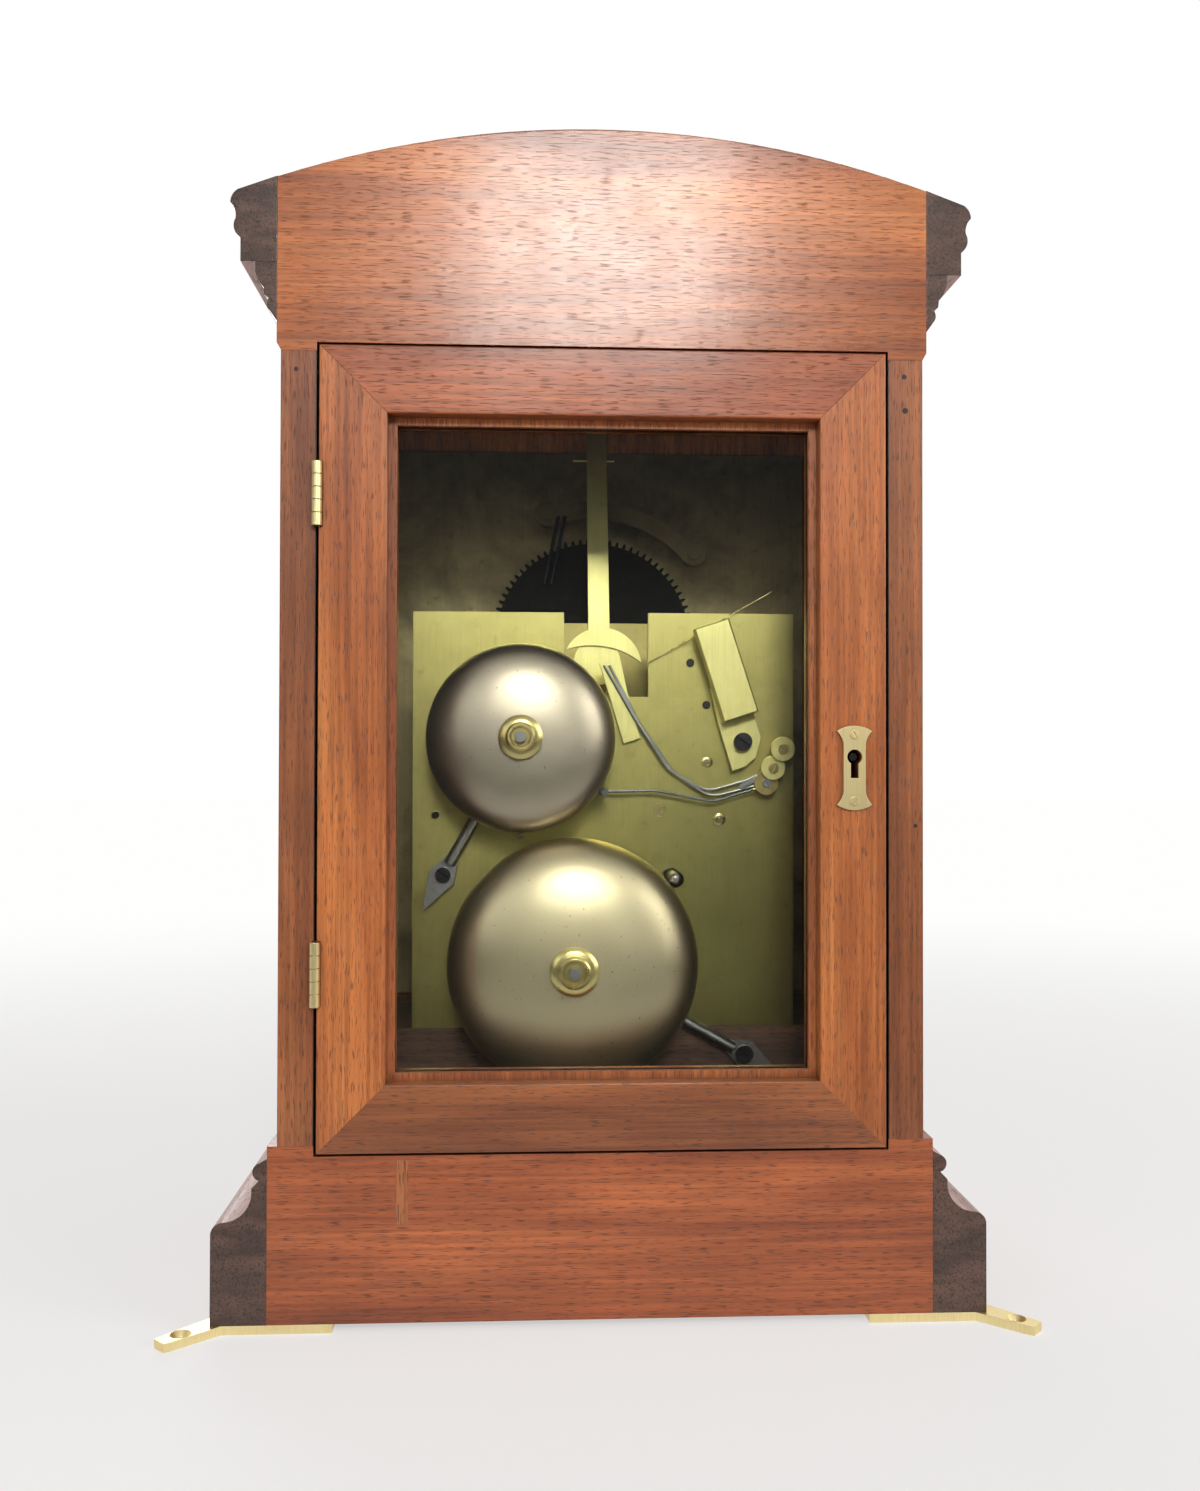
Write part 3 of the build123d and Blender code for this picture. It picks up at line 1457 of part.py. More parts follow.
# Two anchor discs with their posts, and the brass tongue that holds the wires
discs = [(-82.6, dial_z - 0.8, 10.2), (-78.6, dial_z - 9.2, 8.0)]
disc_radius = 5.4
disc_thick = 2.0
hammer_stud_radius = 1.3
tongue_thick = 2.2
with BuildPart() as spring_studs:
    for x, z, height in discs:
        with BuildSketch(elevation_at(x, plate_y + height, z)):
            Circle(disc_radius)
        extrude(amount=disc_thick)
        with BuildSketch(elevation_at(x, plate_y + height - disc_thick, z)):
            Circle(1.3)
        extrude(amount=height - disc_thick)
    with BuildSketch(elevation_at(small_hammer_x, plate_y + 6.4, small_hammer_z)):
        Circle(hammer_stud_radius)
    extrude(amount=6.4)
    with BuildSketch(elevation_at(small_hammer_x, plate_y + 3.6, small_hammer_z)):
        Circle(hammer_stud_radius + 0.8)
    extrude(amount=3.6)
    with BuildSketch(elevation_at(0, plate_y + tongue_thick, dial_z)):
        with BuildLine():
            Polyline(
                (-1.2, 37.4),
                (-4.4, 39.6),
                (-10.2, 40.8),
                (-13.6, 25.0),
                (-19.4, 4.0),
                (-12.0, 1.6),
                (-7.2, 17.7),
                close=True,
            )
        make_face()
    extrude(amount=tongue_thick)
spring_studs.part.label = "spring_studs"
export_step(spring_studs.part, "parts/spring_studs.step")

# Two spring wires from the tongue to the bundle beside the discs
wire_radius = 0.65
wire_y = plate_y + tongue_thick + wire_radius
wire_routes = (
    [(-3.2, 36.6), (-16.9, 12.9), (-32.0, -10.0), (-49.5, -19.8), (-66.6, -15.0), (-77.3, -10.1)],
    [(-5.6, 36.6), (-19.2, 10.2), (-34.6, -11.6), (-51.0, -22.4), (-65.6, -18.8), (-73.2, -16.6)],
)
with BuildPart() as hammer_springs:
    for route in wire_routes:
        points = [(x, wire_y, dial_z + rise) for x, rise in route]
        with BuildLine() as wire_line:
            FilletPolyline(*points, radius=12.0)
        start = wire_line.line @ 0
        heading = wire_line.line % 0
        with BuildSketch(Plane(origin=start, z_dir=heading)):
            Circle(wire_radius)
        sweep(path=wire_line.line)
hammer_springs.part.label = "hammer_springs"
export_step(hammer_springs.part, "parts/hammer_springs.step")

# Small bell hammer: a collet on its stud, a wire stem and a black head by the rim
collet_back = plate_y + 5.8
head_x = -2.7
head_z = dial_z - 19.9
with BuildPart() as small_hammer:
    with BuildSketch(elevation_at(small_hammer_x, collet_back, small_hammer_z)):
        Circle(disc_radius)
    extrude(amount=disc_thick)
    with BuildLine() as stem_line:
        stem_y = collet_back - disc_thick / 2
        stem = [
            (small_hammer_x + 4.0, stem_y, small_hammer_z - 2.4),
            (-52.0, stem_y, dial_z - 24.4),
            (-26.0, stem_y, dial_z - 19.4),
            (head_x, stem_y, head_z),
        ]
        FilletPolyline(*stem, radius=16.0)
    with BuildSketch(Plane(origin=stem_line.line @ 0, z_dir=stem_line.line % 0)):
        Circle(wire_radius)
    sweep(path=stem_line.line)
    with BuildSketch(elevation_at(head_x, bell_rim_y + 5.0, head_z)):
        Circle(1.7)
    extrude(amount=bell_rim_y + 5.0 - stem_y + 1.5)
    with BuildSketch(elevation_at(small_hammer_x, collet_back, small_hammer_z)):
        Circle(hammer_stud_radius + running)
    extrude(amount=disc_thick, mode=Mode.SUBTRACT)
small_hammer.part.label = "small_hammer"
export_step(small_hammer.part, "parts/small_hammer.step")

# Large bell hammer: an arm between the plates and a domed post through the back plate
with BuildPart() as large_hammer:
    arm_y = plate_front_face - 3.0
    with BuildSketch(elevation_at(large_hammer_x, plate_y, large_hammer_z)):
        Circle(pivot_radius)
    extrude(amount=plate_y - front_plate_face)
    with BuildSketch(elevation_at(large_hammer_x, plate_front_face - 0.5, large_hammer_z)):
        Circle(arbor_radius)
    extrude(amount=plate_spacing - 1.0)
    reach_x = large_post_x - large_hammer_x
    reach_z = large_post_z - large_hammer_z
    hammer_heading = math.degrees(math.atan2(reach_z, reach_x))
    hammer_reach = math.hypot(reach_x, reach_z)
    with BuildSketch(elevation_at(large_hammer_x, arm_y, large_hammer_z, hammer_heading)):
        with Locations((hammer_reach / 2, 0)):
            Rectangle(hammer_reach, 5.0)
        Circle(4.0)
        with Locations((hammer_reach, 0)):
            Circle(4.0)
    extrude(amount=3.0)
    post_end = bell_rim_y + 4.0
    with BuildSketch(elevation_at(large_post_x, post_end, large_post_z)):
        Circle(large_post_radius)
    extrude(amount=post_end - arm_y)
    dome = large_hammer.edges().filter_by(GeomType.CIRCLE).sort_by(Axis.Y)[-1]
    fillet(dome, large_post_radius * 0.8)
large_hammer.part.label = "large_hammer"
export_step(large_hammer.part, "parts/large_hammer.step")


# Wheels of the trains
def toothed_disc(x, back, z, thick, teeth, module, form, phase):
    with BuildSketch(elevation_at(x, back, z)) as teeth_face:
        with BuildLine():
            Polyline(*tooth_points(teeth, module, form, phase), close=True)
        make_face()
    extrude(teeth_face.sketch, amount=thick)


def shaft(x, z, back, front, radius):
    with BuildSketch(elevation_at(x, back, z)) as round_face:
        Circle(radius)
    extrude(round_face.sketch, amount=back - front)


def spokes(x, back, z, thick, outer_ring, hub, count, mode=Mode.SUBTRACT):
    """Windows that leave arms of equal width between the hub and the rim."""
    arm = 3.0
    with BuildSketch(elevation_at(x, back, z)) as windows:
        Circle(outer_ring)
        Circle(hub, mode=Mode.SUBTRACT)
        for index in range(count):
            turn = math.radians(360 / count * index)
            middle = (outer_ring + hub) / 2
            with Locations(Location((middle * math.cos(turn), middle * math.sin(turn)), math.degrees(turn))):
                Rectangle(outer_ring - hub + 4.0, arm, mode=Mode.SUBTRACT)
    extrude(windows.sketch, amount=thick, mode=mode)


back_pivot = plate_y - 0.4
great_back = front_plate_back + 12.0
drum_front = great_back + 0.6
drum_back = plate_front_face - 14.0
centre_wheel_back = plate_front_face - 6.5
third_wheel_back = plate_front_face - 2.5

# Going barrel with the great wheel; its arbor runs to the dial for winding
with BuildPart() as going_barrel:
    toothed_disc(
        going_x, great_back, going_z, 4.0, great_teeth, great_module, wheel_form, going_angle + 180
    )
    shaft(going_x, going_z, drum_back, great_back, barrel_radius)
    shaft(going_x, going_z, plate_y, front_plate_face - 4.0, 3.0)
    shaft(going_x, going_z, front_plate_face, front_inner - dial_thick, 2.8)
    with BuildSketch(elevation_at(going_x, front_inner - dial_thick, going_z)):
        Rectangle(winding_square, winding_square)
    extrude(amount=winding_square_stand)
going_barrel.part.label = "going_barrel"
export_step(going_barrel.part, "parts/going_barrel.step")

# Strike barrel
with BuildPart() as strike_barrel:
    shaft(strike_x, strike_z, drum_back, drum_front, barrel_radius)
    toothed_disc(strike_x, drum_back + 3.0, strike_z, 3.0, strike_teeth, strike_module, wheel_form, 0.0)
    shaft(strike_x, strike_z, plate_y, front_plate_face - 4.0, 3.0)
    shaft(strike_x, strike_z, front_plate_face, front_inner - dial_thick, 2.8)
    with BuildSketch(elevation_at(strike_x, front_inner - dial_thick, strike_z)):
        Rectangle(winding_square, winding_square)
    extrude(amount=winding_square_stand)
strike_barrel.part.label = "strike_barrel"
export_step(strike_barrel.part, "parts/strike_barrel.step")

# Centre wheel on its arbor, with the cannon pinion and the pinion of the count wheel
cannon_pipe_radius = 3.0
minute_hand_back = front_inner - dial_thick - 6.0
hour_hand_back = front_inner - dial_thick - 3.0
hand_thick = 0.9
with BuildPart() as centre_wheel:
    toothed_disc(
        0, centre_wheel_back, dial_z, 2.0, centre_teeth, centre_module, wheel_form, third_angle
    )
    spokes(0, centre_wheel_back, dial_z, 2.0, 20.5, 6.0, 4)
    shaft(0, dial_z, back_pivot, front_plate_face, pivot_radius)
    shaft(0, dial_z, plate_front_face - 0.5, front_plate_face - 5.0, centre_arbor_radius)
    toothed_disc(
        0,
        great_back + 0.8,
        dial_z,
        5.6,
        centre_pinion,
        great_module,
        pinion_form,
        gap_phase(going_angle + 180, centre_pinion),
    )
    toothed_disc(
        0,
        count_wheel_back + 0.8,
        dial_z,
        4.1,
        count_pinion,
        count_module,
        pinion_form,
        gap_phase(count_angle + 180, count_pinion),
    )
    shaft(0, dial_z, front_plate_face - 5.0, cannon_back + 0.5, 2.4)
    toothed_disc(
        0,
        cannon_back + 0.5,
        dial_z,
        3.5,
        cannon_teeth,
        cannon_module,
        pinion_form,
        gap_phase(minute_angle + 180, cannon_teeth),
    )
    shaft(0, dial_z, cannon_back, minute_hand_back, cannon_pipe_radius)
    shaft(0, dial_z, minute_hand_back, minute_hand_back - hand_thick - 2.4, 1.4)
centre_wheel.part.label = "centre_wheel"
export_step(centre_wheel.part, "parts/centre_wheel.step")

# Third wheel, escape wheel and balance
with BuildPart() as third_wheel:
    toothed_disc(
        third_x,
        centre_wheel_back + 0.8,
        third_z,
        3.6,
        third_pinion,
        centre_module,
        pinion_form,
        gap_phase(third_angle, third_pinion),
    )
    toothed_disc(
        third_x, third_wheel_back, third_z, 1.6, third_teeth, third_module, wheel_form, escape_angle
    )
    spokes(third_x, third_wheel_back, third_z, 1.6, 17.0, 5.0, 4)
    shaft(third_x, third_z, plate_front_face - 0.5, front_plate_back + 0.5, arbor_radius)
    shaft(third_x, third_z, back_pivot, front_plate_face + 0.4, pivot_radius)
third_wheel.part.label = "third_wheel"
export_step(third_wheel.part, "parts/third_wheel.step")

with BuildPart() as escape_wheel:
    toothed_disc(
        escape_x,
        third_wheel_back + 0.8,
        escape_z,
        3.2,
        escape_pinion,
        third_module,
        pinion_form,
        gap_phase(escape_angle, escape_pinion),
    )
    shaft(escape_x, escape_z, plate_front_face - 0.5, front_plate_back + 0.5, arbor_radius)
    shaft(escape_x, escape_z, back_pivot, front_plate_face + 0.4, pivot_radius)
    toothed_disc(
        escape_x, plate_front_face - 19.0, escape_z, 1.2, escape_teeth, 1.2, (0.9, 1.2, 0.02, 0.16, 0.34), 0.0
    )
escape_wheel.part.label = "escape_wheel"
export_step(escape_wheel.part, "parts/escape_wheel.step")

with BuildPart() as balance_wheel:
    with BuildSketch(elevation_at(balance_x, plate_front_face - 25.0, balance_z)):
        Circle(balance_radius)
        Circle(balance_radius - 2.2, mode=Mode.SUBTRACT)
        Rectangle(2 * balance_radius - 2.0, 2.2)
        Circle(3.0)
    extrude(amount=2.4)
    shaft(balance_x, balance_z, plate_front_face - 0.5, front_plate_back + 0.5, 1.2)
    shaft(balance_x, balance_z, back_pivot, front_plate_face + 0.4, pivot_radius)
balance_wheel.part.label = "balance_wheel"
export_step(balance_wheel.part, "parts/balance_wheel.step")

# Motion work: minute wheel with its pinion, and the hour wheel with its pipe
with BuildPart() as minute_wheel:
    toothed_disc(
        minute_x,
        cannon_back - 0.5,
        minute_z,
        2.0,
        minute_teeth,
        cannon_module,
        wheel_form,
        minute_angle + 180,
    )
    toothed_disc(
        minute_x,
        cannon_back - 2.5,
        minute_z,
        7.0,
        minute_pinion,
        hour_module,
        pinion_form,
        gap_phase(minute_angle, minute_pinion),
    )
    with BuildSketch(elevation_at(minute_x, cannon_back, minute_z)):
        Circle(minute_stud_radius + running)
    extrude(amount=12.0, mode=Mode.SUBTRACT)
minute_wheel.part.label = "minute_wheel"
export_step(minute_wheel.part, "parts/minute_wheel.step")

with BuildPart() as hour_wheel:
    toothed_disc(
        0,
        hour_wheel_back,
        dial_z,
        2.0,
        hour_teeth,
        hour_module,
        wheel_form,
        minute_angle,
    )
    shaft(0, dial_z, hour_wheel_back, hour_hand_back - hand_thick, hour_pipe_radius)
    with BuildSketch(elevation_at(0, hour_wheel_back, dial_z)):
        Circle(cannon_pipe_radius + running)
    extrude(amount=hour_wheel_back - hour_hand_back + hand_thick, mode=Mode.SUBTRACT)
hour_wheel.part.label = "hour_wheel"
export_step(hour_wheel.part, "parts/hour_wheel.step")

# Count wheel of the bells, one turn in twelve hours
with BuildPart() as count_wheel:
    toothed_disc(
        count_wheel_x,
        count_wheel_back,
        count_wheel_z,
        wheel_thick,
        count_teeth,
        count_module,
        wheel_form,
        count_angle + 180,
    )
    with BuildSketch(elevation_at(count_wheel_x, count_wheel_back, count_wheel_z)):
        Circle(count_stud_radius + running)
    extrude(amount=wheel_thick, mode=Mode.SUBTRACT)
count_wheel.part.label = "count_wheel"
export_step(count_wheel.part, "parts/count_wheel.step")


# Hands
def hand_points(length, tail, width):
    return [
        (-1.2, -tail),
        (1.2, -tail),
        (1.6, 0),
        (1.3, length * 0.52),
        (width / 2, length * 0.66),
        (1.0, length * 0.80),
        (0.5, length),
        (-0.5, length),
        (-1.0, length * 0.80),
        (-width / 2, length * 0.66),
        (-1.3, length * 0.52),
        (-1.6, 0),
    ]


hour_rest = 60.0
minute_rest = -60.0
with BuildPart() as hour_hand:
    with BuildSketch(elevation_at(0, hour_hand_back, dial_z, hour_rest)):
        with BuildLine():
            Polyline(*hand_points(52.0, 7.0, 9.0), close=True)
        make_face()
        Circle(hour_pipe_radius + 2.6)
        Circle(hour_pipe_radius, mode=Mode.SUBTRACT)
    extrude(amount=hand_thick)
hour_hand.part.label = "hour_hand"
export_step(hour_hand.part, "parts/hour_hand.step")

with BuildPart() as minute_hand:
    with BuildSketch(elevation_at(0, minute_hand_back, dial_z, minute_rest)):
        with BuildLine():
            Polyline(*hand_points(82.0, 9.0, 8.0), close=True)
        make_face()
        Circle(5.0)
        Circle(1.4, mode=Mode.SUBTRACT)
    extrude(amount=hand_thick)
minute_hand.part.label = "minute_hand"
export_step(minute_hand.part, "parts/minute_hand.step")

with BuildPart() as hand_nut:
    nut_back = minute_hand_back - hand_thick
    with BuildSketch(elevation_at(0, nut_back, dial_z)):
        Circle(3.4)
        Circle(1.4, mode=Mode.SUBTRACT)
    extrude(amount=2.2)
hand_nut.part.label = "hand_nut"
export_step(hand_nut.part, "parts/hand_nut.step")
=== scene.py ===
import math

import bmesh
import bpy
from mathutils import Matrix, Vector


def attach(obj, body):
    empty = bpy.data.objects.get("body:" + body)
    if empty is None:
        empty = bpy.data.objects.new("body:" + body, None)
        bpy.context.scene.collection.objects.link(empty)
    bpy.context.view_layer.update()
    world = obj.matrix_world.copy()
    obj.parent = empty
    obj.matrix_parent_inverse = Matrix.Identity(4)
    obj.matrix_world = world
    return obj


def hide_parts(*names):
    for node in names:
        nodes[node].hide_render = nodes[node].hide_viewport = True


# A ships bell clock seen from the back. Metres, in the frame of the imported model:
# +Z up, the dial faces -Y and the glazed door faces +Y.

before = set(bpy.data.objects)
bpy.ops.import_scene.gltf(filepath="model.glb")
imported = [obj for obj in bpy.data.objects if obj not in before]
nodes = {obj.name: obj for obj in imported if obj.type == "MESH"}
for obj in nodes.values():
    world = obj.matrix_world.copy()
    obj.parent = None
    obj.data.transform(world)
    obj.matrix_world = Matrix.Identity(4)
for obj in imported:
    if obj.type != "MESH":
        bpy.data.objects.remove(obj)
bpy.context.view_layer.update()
scene = bpy.context.scene

MM = 0.001

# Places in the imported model, in millimetres: planes by their y, centres by x and z
BACK_PLANE = 98.0
DOOR_FACE = 99.0
PLATE_BACK = 30.0
DIAL_CENTRE = (0.0, 232.0)
DIAL_FACE = -62.0
LARGE_BELL = (11.0, 137.6)
LARGE_BELL_RADIUS = 54.6
SMALL_BELL = (33.8, 235.7)
SMALL_BELL_RADIUS = 41.2

# The camera of the photograph, solved from the back plane and the receding mouldings
CAMERA_PLACE = (30.2, 647.3, 224.4)
CAMERA_YAW_PITCH_ROLL = (2.95, 0.77, 0.11)
FOCAL_PIXELS = 1374.9
LONG_SIDE_PIXELS = 1491
SENSOR_WIDTH = 36.0


def make_camera():
    yaw, pitch, roll = (math.radians(a) for a in CAMERA_YAW_PITCH_ROLL)
    ahead = Vector(
        (-math.sin(yaw) * math.cos(pitch), -math.cos(yaw) * math.cos(pitch), math.sin(pitch))
    )
    level = Vector((-math.cos(yaw), math.sin(yaw), 0.0))
    rise = level.cross(ahead)
    right = math.cos(roll) * level + math.sin(roll) * rise
    up = -math.sin(roll) * level + math.cos(roll) * rise
    data = bpy.data.cameras.new("camera")
    data.sensor_fit = "AUTO"
    data.sensor_width = SENSOR_WIDTH
    data.lens = FOCAL_PIXELS / LONG_SIDE_PIXELS * SENSOR_WIDTH
    data.clip_start = 0.01
    data.clip_end = 50.0
    camera = bpy.data.objects.new("camera", data)
    scene.collection.objects.link(camera)
    turn = Matrix((right, up, -ahead)).transposed().to_4x4()
    camera.matrix_world = Matrix.Translation(Vector(CAMERA_PLACE) * MM) @ turn
    scene.camera = camera


make_camera()

# Height in metres of the scratches, spots and rings on metal
FINE_RELIEF = 0.0002


class Shade:
    """A material under construction: it makes nodes and links them to one Principled shader."""

    def __init__(self, name):
        self.material = bpy.data.materials.new(name)
        self.material.use_nodes = True
        self.tree = self.material.node_tree
        self.shader = self.tree.nodes["Principled BSDF"]
        self.place = self.tree.nodes.new("ShaderNodeTexCoord").outputs["Object"]

    def node(self, kind, **settings):
        made = self.tree.nodes.new(kind)
        for key, value in settings.items():
            setattr(made, key, value)
        return made

    def feed(self, socket, value):
        if isinstance(value, bpy.types.NodeSocket):
            self.tree.links.new(value, socket)
        else:
            socket.default_value = value

    def split(self, vector=None):
        made = self.node("ShaderNodeSeparateXYZ")
        self.feed(made.inputs["Vector"], vector or self.place)
        return made.outputs

    def mapped(self, location=(0, 0, 0), rotation=(0, 0, 0), scale=(1, 1, 1), source=None):
        made = self.node("ShaderNodeMapping")
        self.feed(made.inputs["Vector"], source or self.place)
        made.inputs["Location"].default_value = location
        made.inputs["Rotation"].default_value = rotation
        made.inputs["Scale"].default_value = scale
        return made.outputs["Vector"]

    def noise(self, vector, scale, detail=3.0, rough=0.55, warp=0.0):
        made = self.node("ShaderNodeTexNoise")
        self.feed(made.inputs["Vector"], vector)
        made.inputs["Scale"].default_value = scale
        made.inputs["Detail"].default_value = detail
        made.inputs["Roughness"].default_value = rough
        made.inputs["Distortion"].default_value = warp
        return made.outputs["Fac"]

    def ramp(self, value, stops):
        made = self.node("ShaderNodeValToRGB")
        self.feed(made.inputs["Fac"], value)
        band = made.color_ramp
        while len(band.elements) < len(stops):
            band.elements.new(0.5)
        for element, (position, colour) in zip(band.elements, stops):
            element.position = position
            if isinstance(colour, (int, float)):
                colour = (colour, colour, colour)
            element.color = (*colour, 1.0)
        return made.outputs["Color"]

    def mix(self, share, first, second, blend="MIX"):
        made = self.node("ShaderNodeMix", data_type="RGBA", blend_type=blend)
        self.feed(made.inputs["Factor"], share)
        self.feed(made.inputs[6], self.colour(first))
        self.feed(made.inputs[7], self.colour(second))
        return made.outputs[2]

    @staticmethod
    def colour(value):
        if isinstance(value, tuple) and len(value) == 3:
            return (*value, 1.0)
        return value

    def maths(self, kind, first, second=0.0):
        made = self.node("ShaderNodeMath", operation=kind)
        self.feed(made.inputs[0], first)
        self.feed(made.inputs[1], second)
        return made.outputs["Value"]

    def scaled(self, value, low, high):
        made = self.node("ShaderNodeMapRange")
        self.feed(made.inputs["Value"], value)
        made.inputs["To Min"].default_value = low
        made.inputs["To Max"].default_value = high
        return made.outputs["Result"]

    def eased(self, value, start, end, low=0.0, high=1.0):
        made = self.node("ShaderNodeMapRange", interpolation_type="SMOOTHSTEP")
        self.feed(made.inputs["Value"], value)
        made.inputs["From Min"].default_value = start
        made.inputs["From Max"].default_value = end
        made.inputs["To Min"].default_value = low
        made.inputs["To Max"].default_value = high
        return made.outputs["Result"]

    def from_axis(self, centre):
        """Distance in metres from the line along Y through a centre given by x and z."""
        split = self.split(self.mapped(location=(-centre[0] * MM, 0.0, -centre[1] * MM)))
        across = self.maths("POWER", split["X"], 2.0)
        upward = self.maths("POWER", split["Z"], 2.0)
        return self.maths("SQRT", self.maths("ADD", across, upward))

    def turned_rings(self, distance, scale, detail):
        """The fine rings that a lathe leaves around an axis."""
        made = self.node("ShaderNodeTexNoise", noise_dimensions="1D")
        self.feed(made.inputs["W"], distance)
        made.inputs["Scale"].default_value = scale
        made.inputs["Detail"].default_value = detail
        return made.outputs["Fac"]

    def bump(self, height, strength, normal=None, distance=FINE_RELIEF):
        made = self.node("ShaderNodeBump")
        made.inputs["Strength"].default_value = strength
        made.inputs["Distance"].default_value = distance
        self.feed(made.inputs["Height"], height)
        if normal is not None:
            self.feed(made.inputs["Normal"], normal)
        return made.outputs["Normal"]

    def soft_edges(self, radius):
        made = self.node("ShaderNodeBevel", samples=4)
        made.inputs["Radius"].default_value = radius
        return made.outputs["Normal"]

    def facing(self, axis):
        """How squarely the surface faces along an axis of the object, from 0 to 1."""
        source = self.node("ShaderNodeTexCoord")
        return self.maths("ABSOLUTE", self.split(source.outputs["Normal"])[axis])

    def finish(self, **sockets):
        for key, value in sockets.items():
            self.feed(self.shader.inputs[key.replace("_", " ")], self.colour(value))
        return self.material


# Radii in metres that the edges of wood and of metal seem worn to, and the relief of wood
WOOD_EDGE = 0.0006
METAL_EDGE = 0.0003
WOOD_RELIEF = 0.0003

# Turns that lay the grain, which runs along X in the texture, along an axis of the model
GRAIN_TURN = {
    "X": (0.0, 0.0, 0.0),
    "Y": (0.0, 0.0, -math.pi / 2),
    "Z": (0.0, math.pi / 2, 0.0),
}

# Tones of the dots in end grain, of the painted shade in corners and of the painted shade on the
# bare inner faces
END_DOT = (0.012, 0.006, 0.004)
CORNER_SHADE = (0.035, 0.012, 0.006)
INNER_SHADE = (0.022, 0.011, 0.007)

# In metres: how far the painted shade reaches out of a corner, and the inner face of a side board
CORNER_SHADE_REACH = 0.005
SIDE_BOARD_INNER = 0.1152


# Painted shade: a mask of the faces inside the case, and of the roof's underside, that are painted
# near black
def unpolished_share(s, inner):
    """1 on the faces that look into the case, 0 on the polished ones.

    inner is the distance from the middle plane that the inner faces stay within, or
    "under" for a board whose inner face looks down.
    """
    if inner == "under":
        normal = s.node("ShaderNodeTexCoord").outputs["Normal"]
        return s.maths("LESS_THAN", s.split(normal)["Z"], -0.5)
    return s.maths("LESS_THAN", s.maths("ABSOLUTE", s.split()["X"]), inner)


# Mahogany: long soft figure, fine streaks, short dark pores, darker end grain
def mahogany(name, grain, tone, shift, end_tone, gloss=0.30, inner=None):
    s = Shade(name)
    pale, middle, dark = tone
    along = s.mapped(rotation=GRAIN_TURN[grain], location=shift)
    slow = s.mapped(scale=(0.10, 1.0, 1.0), source=along)
    figure = s.noise(slow, 46.0, 4.0, 0.6, 0.6)
    wood = s.ramp(figure, [(0.30, dark), (0.50, middle), (0.70, pale)])
    streaks = s.noise(s.mapped(scale=(0.016, 1.0, 1.0), source=along), 620.0, 2.0, 0.5)
    streak_tone = s.ramp(streaks, [(0.36, 0.70), (0.64, 1.18)])
    wood = s.mix(0.75, wood, streak_tone, "MULTIPLY")
    blotch = s.noise(along, 17.0, 2.0, 0.5)
    wood = s.mix(0.6, wood, s.ramp(blotch, [(0.32, 0.78), (0.68, 1.14)]), "MULTIPLY")
    pores = s.noise(s.mapped(scale=(0.075, 1.0, 1.0), source=along), 2000.0, 1.0, 0.5)
    pore_mask = s.ramp(pores, [(0.585, 0.0), (0.635, 1.0)])
    pore_tone = (dark[0] * 0.32, dark[1] * 0.30, dark[2] * 0.34)
    wood = s.mix(s.maths("MULTIPLY", pore_mask, 0.60), wood, pore_tone)
    # end grain shows as small dots over faint rings
    dots = s.noise(along, 1300.0, 1.0, 0.5)
    rings = s.noise(s.mapped(scale=(1.0, 0.28, 1.0), source=along), 150.0, 3.0, 0.6, 0.4)
    end_wood = s.mix(
        s.ramp(dots, [(0.50, 0.0), (0.66, 0.75)]),
        s.ramp(rings, [(0.35, end_tone[0]), (0.65, end_tone[1])]),
        END_DOT,
    )
    ends = s.ramp(s.facing(grain), [(0.62, 0.0), (0.80, 1.0)])
    wood = s.mix(ends, wood, end_wood)
    # painted shade: ambient occlusion darkens the wood near corners and joints
    occlusion = s.node("ShaderNodeAmbientOcclusion", samples=6)
    occlusion.inputs["Distance"].default_value = CORNER_SHADE_REACH
    wood = s.mix(s.ramp(occlusion.outputs["AO"], [(0.30, 0.62), (0.85, 0.0)]), wood, CORNER_SHADE)
    # painted shade: faces that look into the case, or down under the roof, are painted near black
    if inner is not None:
        wood = s.mix(unpolished_share(s, inner), wood, INNER_SHADE)
    rough = s.scaled(s.noise(along, 60.0, 3.0), gloss - 0.05, gloss + 0.12)
    rough = s.maths("ADD", rough, s.maths("MULTIPLY", pore_mask, 0.20))
    raised = s.maths("MULTIPLY", streaks, 0.35)
    height = s.maths("SUBTRACT", raised, s.maths("MULTIPLY", pore_mask, 0.9))
    normal = s.bump(height, 0.26, s.soft_edges(WOOD_EDGE), WOOD_RELIEF)
    return s.finish(
        Base_Color=wood, Roughness=rough, Normal=normal, Coat_Weight=0.25, Coat_Roughness=0.14
    )


# Tones of the wood as pale, middle and dark; of its end grain as dark and pale
WARM = ((0.60, 0.205, 0.055), (0.455, 0.134, 0.034), (0.280, 0.072, 0.019))
RED = ((0.47, 0.128, 0.037), (0.335, 0.082, 0.023), (0.195, 0.043, 0.013))
BROWN = ((0.42, 0.142, 0.046), (0.295, 0.091, 0.029), (0.170, 0.049, 0.017))
END = ((0.055, 0.027, 0.019), (0.120, 0.060, 0.040))
INSIDE = ((0.110, 0.052, 0.028), (0.070, 0.032, 0.018), (0.040, 0.018, 0.011))

